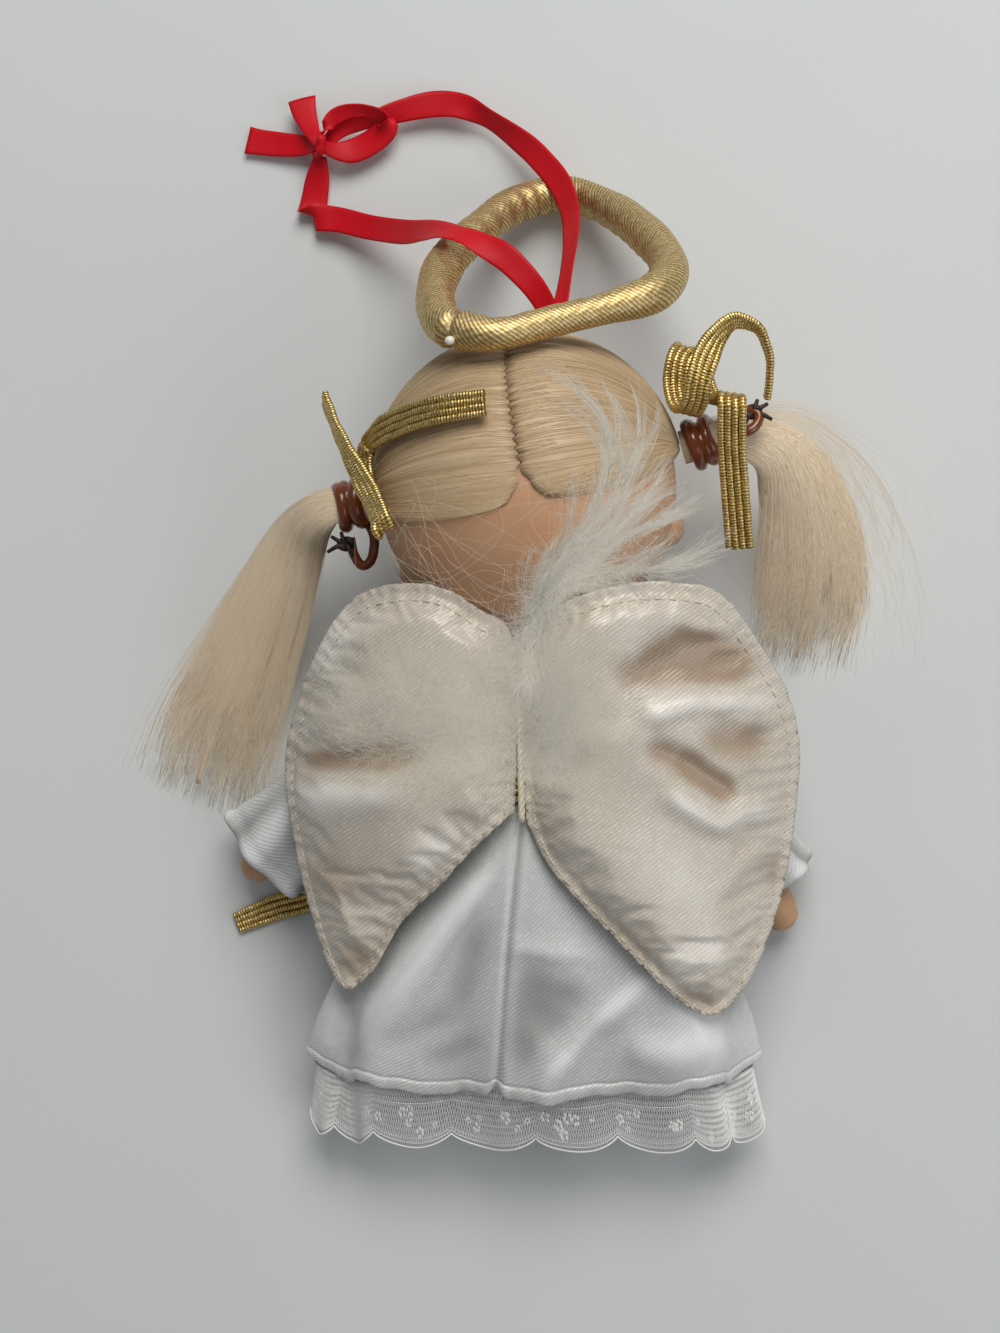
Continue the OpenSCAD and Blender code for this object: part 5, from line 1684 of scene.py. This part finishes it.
    def stitches(self, pad: Piece) -> None:
        """Running stitches along the edge, each a short sunk thread."""
        rim = self.edge(0.2)
        way = unit(np.roll(rim, -2, axis=0) - np.roll(rim, 2, axis=0))
        inward = np.stack([-way[:, 1], way[:, 0]], axis=1)
        if not self.within(rim[:1] + inward[:1] * 0.5, rim)[0]:
            inward = -inward
        path = rim + inward * self.seam
        tree = search_tree(pad.data)
        parts = []
        for i in range(0, len(path) - 8, 8):
            run = path[i:i + 6]
            run3 = self.placed(np.column_stack([run, np.full(len(run), 6.0)]))
            hits = [tree.ray_cast(Vector(p * MM), Vector((0, 0, -1))) for p in run3]
            if any(h[0] is None for h in hits):
                continue
            line = np.array([tuple(h[0]) for h in hits]) / MM
            line[:, 2] += 0.06 * np.sin(np.linspace(0.15, math.pi - 0.15, len(line))) + 0.02
            parts.append(tube_mesh(line, 0.09, 6))
        self.hung(build_mesh(f"wing_stitches_{self.side.word}", THREAD, *joined(parts)), "ivory_satin")


def inflate(points: Array, faces: list) -> Array:
    """Fill a sewn pad with wadding by cloth simulation.

    Args:
        points: points of the closed pad in millimetres.
        faces: faces of the pad.

    Returns:
        The settled points in millimetres.
    """
    scale = 0.05
    mesh = bpy.data.meshes.new("pad_in_work")
    mesh.from_pydata((points * scale).tolist(), [], faces)
    work = linked("pad_in_work", mesh)
    sewn = work.vertex_groups.new(name="sewn")
    sewn.add([i for i, p in enumerate(points) if abs(p[2]) < 0.34], 1.0, "ADD")
    cloth = work.modifiers.new("wadding", "CLOTH")
    settings = {"quality": 6, "mass": 0.2, "tension_stiffness": 20, "compression_stiffness": 12,
                "bending_stiffness": 0.25, "shrink_min": -0.045, "use_pressure": True,
                "uniform_pressure_force": 1.0, "vertex_group_mass": "sewn"}
    for name, value in settings.items():
        setattr(cloth.settings, name, value)
    cloth.settings.effector_weights.gravity = 0.0
    scene = bpy.context.scene
    first, last = 1, 16
    cloth.point_cache.frame_start = first
    cloth.point_cache.frame_end = last
    for step in range(first, last + 1):
        scene.frame_set(step)
    ready = work.evaluated_get(bpy.context.evaluated_depsgraph_get())
    out = np.array([v.co for v in ready.data.vertices], float) / scale
    bpy.data.objects.remove(work)
    bpy.data.meshes.remove(mesh)
    scene.frame_set(first)
    move = out - points
    far = np.linalg.norm(move, axis=1, keepdims=True)
    out = points + move * np.minimum(1.0, 1.1 / np.maximum(far, 1e-6))
    # The wadding rises towards the eye; the underside lies flat against the gown
    out[:, 2] = np.where(points[:, 2] < 0, np.maximum(out[:, 2], points[:, 2] * 0.6), out[:, 2])
    return out


# Folds of each wing, raised in the pad and painted with shade and highlight: start, end, half width and
# height
FOLDS = {
    Side.LEFT: [((-28.4, -2.2), (-10.7, 0.7), 1.9, -1.3), ((-28.6, -6), (-14.7, -4.6), 2.4, 0.9),
                ((-26, 8.6), (-20.5, 15.5), 2.6, 0.8), ((-23.8, 5.4), (-12, 8), 3.2, 0.5),
                ((-26.4, -12), (-19, -17), 4.6, -0.5), ((-23, -28), (-20.4, -24.5), 2.2, -0.7),
                ((-14, -13.4), (-8, -10), 2.6, 0.5), ((-18.5, -24.5), (-7, -13), 1.5, -0.6)],
    Side.RIGHT: [((11.5, 8.4), (17.5, 10.4), 2.2, -0.9), ((16, 11.4), (26.5, 9.2), 3, -1.5),
                 ((18.5, 13.4), (23, 12.6), 1.6, -0.5), ((15.2, 4.4), (20.9, 6.2), 1.4, 0.9),
                 ((20.9, 6.2), (29.6, 4.8), 1.5, 0.8), ((15.6, 0.8), (20.6, -1.6), 1.5, -1),
                 ((19.6, -1.6), (25, -5.6), 1.6, -1.3), ((17.5, -4.8), (23.4, -9), 1.5, 0.9),
                 ((23.4, -9), (29.2, -7.6), 1.5, 0.7), ((1.3, 0.2), (9, -0.4), 2, -0.8),
                 ((11.8, -9.4), (22, -18), 4.2, 0.45), ((10.5, 17), (20, 17.2), 2.2, 0.15),
                 ((8.2, -18.2), (16.6, -27.4), 1.4, -0.6), ((17.6, -29.6), (22.6, -31.2), 1.3, -0.7),
                 ((29.6, -13.4), (29.8, -18), 1.7, -0.8), ((10.5, 1.6), (14, 3.6), 1.8, 0.4),
                 ((17, -25), (24, -24), 4, 0.8), ((22, 1.4), (29, 0.6), 2.6, -0.8)]}
WING_LEFT = [[-0.55, 13], [-4.6, 17.6], [-9, 20.2], [-14.4, 20.6], [-20, 19], [-24.6, 13.8],
             [-28.8, 5.8], [-31.2, -2.4], [-30.3, -11], [-28.3, -19.6], [-25.8, -27], [-23, -30.2],
             [-19, -27.2], [-15, -20.9], [-9.6, -15.7], [-5.2, -11], [-1.9, -8], [-0.7, -5.6]]
WING_RIGHT = [[-0.2, 13], [5.2, 18], [12.3, 20.2], [19.1, 20.2], [24, 18.5], [28.1, 12.7],
              [31.5, 6.5], [33, -0.4], [32.5, -8.3], [31.2, -16.7], [29, -23.9], [26.2, -29.7],
              [22.6, -32.6], [19.6, -31.6], [15.6, -27.9], [11, -22.8], [5.8, -17.1], [2.3, -12.7],
              [0.7, -9.2], [0.05, -6.2]]


@dataclass
class WingTie:
    """Cream two-ply cord that gathers the wings at the middle of the back."""

    long: float = 16.0
    high: float = 0.9
    ply_r: float = 0.19

    def build(self) -> None:
        """Make the twisted cord as a closed loop."""
        run = self.long / 2 - self.high
        turn = np.linspace(-math.pi / 2, math.pi / 2, 24)
        top = np.stack([np.linspace(-run, run, 90), np.full(90, self.high)], axis=1)
        right = np.stack([run + self.high * np.cos(turn), self.high * np.sin(turn)], axis=1)[::-1]
        half = np.concatenate([top[:-1], right[:-1]])
        loop = np.concatenate([half, -half])
        line = lying(np.stack([np.zeros(len(loop)), loop[:, 0] + TIE_Y, loop[:, 1] + 11.5], axis=1))
        line = spaced_line(np.concatenate([line, line[:1]]), 0.2)[:-1]
        ring = tube_rings(line, 4, closed=True)
        parts = []
        for k in range(2):
            a = 18 * full_turn(len(line)) + k * math.pi
            ply = line + ring[:, 0] * (0.13 * np.cos(a))[:, None] + ring[:, 1] * (0.13 * np.sin(a))[:, None]
            parts.append(tube_mesh(ply, self.ply_r, 8, closed=True))
        carry(build_mesh("wing_tie_cord", CORD, *joined(parts)), "torso", "cream_cord", "wing_tie")


@dataclass
class Feathers:
    """White marabou: down over both wings and a plume up the back of the head."""

    wisps: int = 6400
    tufts: int = 110
    locks: int = 34
    barbs: int = 12
    longer: int = 40
    fine: tuple[float, float] = (0.009, 0.017)

    def down(self, wing: Wing) -> None:
        """Down that lies on one wing, spreading from the tie."""
        side = wing.side
        rng = Seed.DOWN.draws(side)
        m, n = 9, self.wisps
        each, by_tuft = (n, 1), (self.tufts, 1)
        wide, up, tall = (10.5, 4.2, 4.2) if side is Side.LEFT else (6.0, 5.4, 4.6)
        tuft_u = np.minimum(np.abs(rng.normal(0.0, wide, by_tuft)), 21.0)
        tuft_v = rng.normal(up, tall, by_tuft) * (1 - 0.012 * tuft_u)
        turn = np.arctan2(tuft_v - 1.0 + rng.normal(0, 4, by_tuft), side.value * (3 + tuft_u))
        turn = turn + rng.normal(0, 0.7, by_tuft)
        own = rng.integers(0, self.tufts, n)
        u0 = side.value * np.abs(tuft_u[own] + rng.normal(0, 1.1, each))
        v0 = tuft_v[own] + rng.normal(0, 1.1, each)
        way = turn[own] + rng.normal(0, 0.6, each)
        long = rng.uniform(1.5, 6.0, each)
        long[:self.longer] = rng.uniform(8, 15, (self.longer, 1))
        t = np.linspace(0, 1, m)[None, :]
        curl = rng.normal(0, 1.3, by_tuft)[own] + rng.normal(0, 0.7, each)
        u = u0 + long * (t * np.cos(way) - curl * 0.3 * t * t * np.sin(way))
        v = v0 + long * (t * np.sin(way) + curl * 0.3 * t * t * np.cos(way))
        high = 1.6 + rng.uniform(0.0, 1.4, by_tuft)[own] + rng.uniform(0.0, 0.8, each)
        high = high + rng.uniform(-0.2, 1.2, each) * np.sin(t * 2.6)
        p = wing.placed(np.stack([u.ravel(), v.ravel(), high.ravel()], axis=1)).reshape(n, m, 3)
        parts = strands_mesh(p, rng.uniform(*self.fine, each) * np.linspace(1, 0.6, m))
        piece = build_mesh(f"down_fluff_{side.word}", DOWN, *parts)
        airy(wing.hung(piece, "white_down", f"down_{side.word}"))

    def fluff(self, stem: Array, count: int, rng: np.random.Generator) -> MeshParts:
        """Short curled down round one stem of the plume, closest near its foot."""
        at = rng.beta(1.1, 2.0, count) * (len(stem) - 1)
        foot = rows_at(stem, at, np.arange(len(stem)))
        out = unit(foot - HEAD_OWN)
        way = unit(rng.normal(0, 1, (count, 3)) + out * 0.4)
        way = way - out * np.minimum((way * out).sum(axis=1, keepdims=True), 0.0)
        turn = rng.normal(0, 0.9, (count, 1, 3))
        t = np.linspace(0, 1, 7)[None, :, None]
        long = rng.uniform(1.2, 4.2, (count, 1, 1))
        p = foot[:, None, :] + long * (way[:, None, :] * t + turn * 0.4 * t * t)
        neck_y = 4.0
        p = np.where(p[..., 1:2] > neck_y, off_head(p, 19.8), p)
        p[..., 2] = np.where(p[..., 1] <= neck_y, np.maximum(p[..., 2], 15.2), p[..., 2])
        return strands_mesh(lying(p), rng.uniform(*self.fine, (count, 1)))

    def plume(self, wing: Wing) -> None:
        """Plume that fans from the tie over the right wing and the right side of the head."""
        rng = Seed.PLUME.draws()
        n, m = self.locks * self.barbs, 10
        each, by_lock = (n, 1), (self.locks, 1)
        lock = np.repeat(np.arange(self.locks), self.barbs)
        t = np.linspace(0, 1, m)[None, :]
        parts = []
        for k, rows in enumerate(STEMS):
            stem = spaced_line(smooth_line(rows, 10), 0.6)
            parts.append(tube_mesh(lying(stem), np.linspace(0.1, 0.04, len(stem)), 5))
            root = rng.uniform(0.12, 0.82, by_lock)[lock] + rng.normal(0, 0.012, each)
            at = root + rng.uniform(0.14, 0.3, by_lock)[lock] * rng.uniform(0.75, 1.1, each) * t
            at = np.clip(at, 0.0, 1.06)
            spot = np.minimum(at, 1.0) * (len(stem) - 1)
            along = np.arange(len(stem))
            way = rows_at(unit(np.gradient(stem, axis=0)), spot, along)
            p = rows_at(stem, spot, along) + way * np.maximum(at - 1, 0)[..., None] * 30
            out = unit(p - HEAD_OWN)
            across = unit(np.cross(way, out))
            veer = rng.normal(0, 1.1, by_lock)[lock] * (1.1 + 1.6 * np.sin(share_of(at[:, :1]) * 2.6))
            loose = rng.normal(0, 0.4, each) * (1.1 - 0.9 * t)
            wave = 0.2 * np.sin(t * rng.uniform(3, 8, each)) * t
            p = p + across * (veer * t ** 1.2 + loose + wave)[..., None]
            p = p + out * (rng.uniform(-0.2, 1.0, by_lock)[lock] * np.sin(t * 2.4))[..., None]
            radius = rng.uniform(0.014, 0.03, each) * np.linspace(1, 0.6, m)
            parts.append(strands_mesh(lying(off_head(p, 19.9)), radius))
            parts.append(self.fluff(stem, 620 if k < 2 else 950, rng))
        piece = build_mesh("feather_plume_barbs", DOWN, *joined(parts))
        airy(wing.hung(piece, "white_down", "feather_plume"))


# Stems of the plume in the doll's own frame, from the tie outwards
STEMS = [[[1, -4.0, 14.4], [1.8, 2, 16.2], [3.2, 7.3, 18.6], [5.6, 10.9, 19.4], [8.6, 14.5, 19.4],
          [11, 18.7, 18.6], [11.6, 22.7, 17.7], [10.7, 26.7, 16.8], [8, 30, 16.3],
          [4.8, 32.8, 15.2]],
         [[1.2, -4, 14.4], [2.2, 2, 16.2], [4, 7.2, 18.5], [6.6, 11.1, 19.2], [10.2, 15.1, 18.8],
          [13.2, 19.6, 17.1], [14.7, 24.3, 14.7], [14.6, 28.4, 12.4], [13.5, 31.3, 10.7]],
         [[1.4, -4, 14.4], [2.6, 2, 16.2], [4.4, 7.1, 18.2], [8, 10.1, 18.6], [12, 12.4, 17],
          [17, 15, 13], [20.8, 17, 6]],
         [[1.6, -4, 14.4], [3, 2, 16.2], [5, 6.9, 17.9], [9, 8.4, 17.2], [14, 9.2, 14.6],
          [19, 9.8, 10.4], [23.4, 11.4, 8]],
         [[1.6, -4, 14.4], [3.4, 3, 16.4], [6, 8.4, 18.4], [9.6, 12, 18.4], [14.2, 16, 16],
          [17.6, 20.6, 11.4]]]


@dataclass
class Face:
    """Calm painted doll's face of plain proportions, on the side that lies down."""

    def patch(self, name: str, x: float, y: float, half_w: float, half_h: float, finish: Finish, lift: float,
              curve: float = 0.0) -> None:
        """Painted patch that follows the head.

        Args:
            name: piece name.
            x: place across the face.
            y: place up the face.
            half_w: half width.
            half_h: half height.
            finish: paint.
            lift: height above the skin.
            curve: upward bend of the patch across its width.
        """
        tree = head_surface()
        turn = full_turn(28)
        cols = len(turn)
        rings = []
        for share in (0.02, 0.35, 0.7, 0.92, 1.0):
            px = x + half_w * share * np.cos(turn)
            py = y + half_h * share * np.sin(turn) + curve * (share * np.cos(turn)) ** 2
            above = lift * MM * (1.0 if share < 0.95 else 0.2)
            ring = []
            for a, b in zip(px, py):
                start, aim = on_head(np.array([[a, b, -40.0], [a, b, 0.0]])) * MM
                hit = tree.ray_cast(Vector(start), Vector(aim - start).normalized())
                ring.append((np.array(hit[0]) + np.array(hit[1]) * above) / MM)
            rings.append(ring)
        top = np.array(rings)
        low = top + unit(HEAD_MID - top) * (lift + 0.15)
        rows = np.concatenate([top, low[::-1]])
        faces = grid_faces(len(rows), cols, wrap_cols=True).tolist()
        faces.append(list(range(cols)))
        faces.append(list(range((len(rows) - 1) * cols, len(rows) * cols))[::-1])
        carry(build_mesh(name, finish, rows.reshape(-1, 3), faces), "head", "vinyl_skin")

    def build(self) -> None:
        """Paint eyes, lids, brows, lips and cheeks."""
        for side in Side:
            s = side.value
            self.patch(f"eye_white_{side.word}", s * 6.2, 0.6, 2.3, 1.9, PAINT_WHITE, 0.06)
            self.patch(f"iris_{side.word}", s * 6.0, 0.5, 1.45, 1.6, PAINT_IRIS, 0.1)
            self.patch(f"pupil_{side.word}", s * 6.0, 0.5, 0.75, 0.9, PAINT_DARK, 0.13)
            self.patch(f"eye_glint_{side.word}", s * 6.0 + 0.5, 1.1, 0.3, 0.3, PAINT_WHITE, 0.16)
            self.patch(f"lash_line_{side.word}", s * 6.2, 2.6, 2.6, 0.38, PAINT_BROWN, 0.1, -0.7)
            self.patch(f"brow_{side.word}", s * 6.2, 5.2, 2.3, 0.32, PAINT_BROWN, 0.05, -0.6)
            self.patch(f"cheek_{side.word}", s * 8.2, -4.6, 2.2, 1.7, PAINT_CHEEK, 0.03)
        self.patch("upper_lip", 0.0, -6.5, 1.9, 0.5, PAINT_LIP, 0.1, 0.35)
        self.patch("lower_lip", 0.0, -7.4, 1.4, 0.5, PAINT_LIP, 0.12, 0.3)


@lru_cache(maxsize=1)
def head_surface() -> BVHTree:
    """Search tree over the vinyl head, made once."""
    return search_tree(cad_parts["head"].data)


def dress_vinyl() -> None:
    """Give the moulded vinyl solids their skin."""
    for name in ("torso", "head", "arm_left", "arm_right", "leg_left", "leg_right"):
        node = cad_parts[name]
        node.data.materials.clear()
        node.data.materials.append(SKIN.material())
        LOG.info("%s dressed in vinyl", name)


def main() -> None:
    """Build the studio and every sub-assembly in order."""
    logging.basicConfig(level=logging.INFO, format="%(name)s: %(message)s")
    Studio().build()
    Hanger().build()
    Halo().build()
    dress_vinyl()
    Gown().build()
    Sleeve(Side.LEFT, math.radians(48)).build()
    Sleeve(Side.RIGHT, math.radians(32), long=29.8).build()
    Braid("gold_bow_braid_left", "head", "gold_bow_left", BOW_LEFT).build(by_head)
    Braid("gold_bow_braid_right", "head", "gold_bow_right", BOW_RIGHT).build(by_head)
    Braid("sash_bow_braid", "torso", "sash_bow", SASH_BOW).build(sashed)
    ring = [[TAU * i / 24, 9.6] for i in range(24)]
    Braid("waist_sash_braid", "torso", "waist_sash", ring, closed=True).build(sash_ring)
    for side, rows in ((Side.LEFT, PIGTAIL_LEFT), (Side.RIGHT, PIGTAIL_RIGHT)):
        HairPanel(side).build()
        Pigtail(side, rows, slim=0.86 if side is Side.RIGHT else 1.0).build()
        RubberBand(side).build()
    Flyaways().build()
    left, right = Wing(Side.LEFT, WING_LEFT), Wing(Side.RIGHT, WING_RIGHT)
    left.build()
    right.build()
    WingTie().build()
    feathers = Feathers()
    feathers.down(left)
    feathers.down(right)
    feathers.plume(right)
    Face().build()


if __name__ == "__main__":
    main()
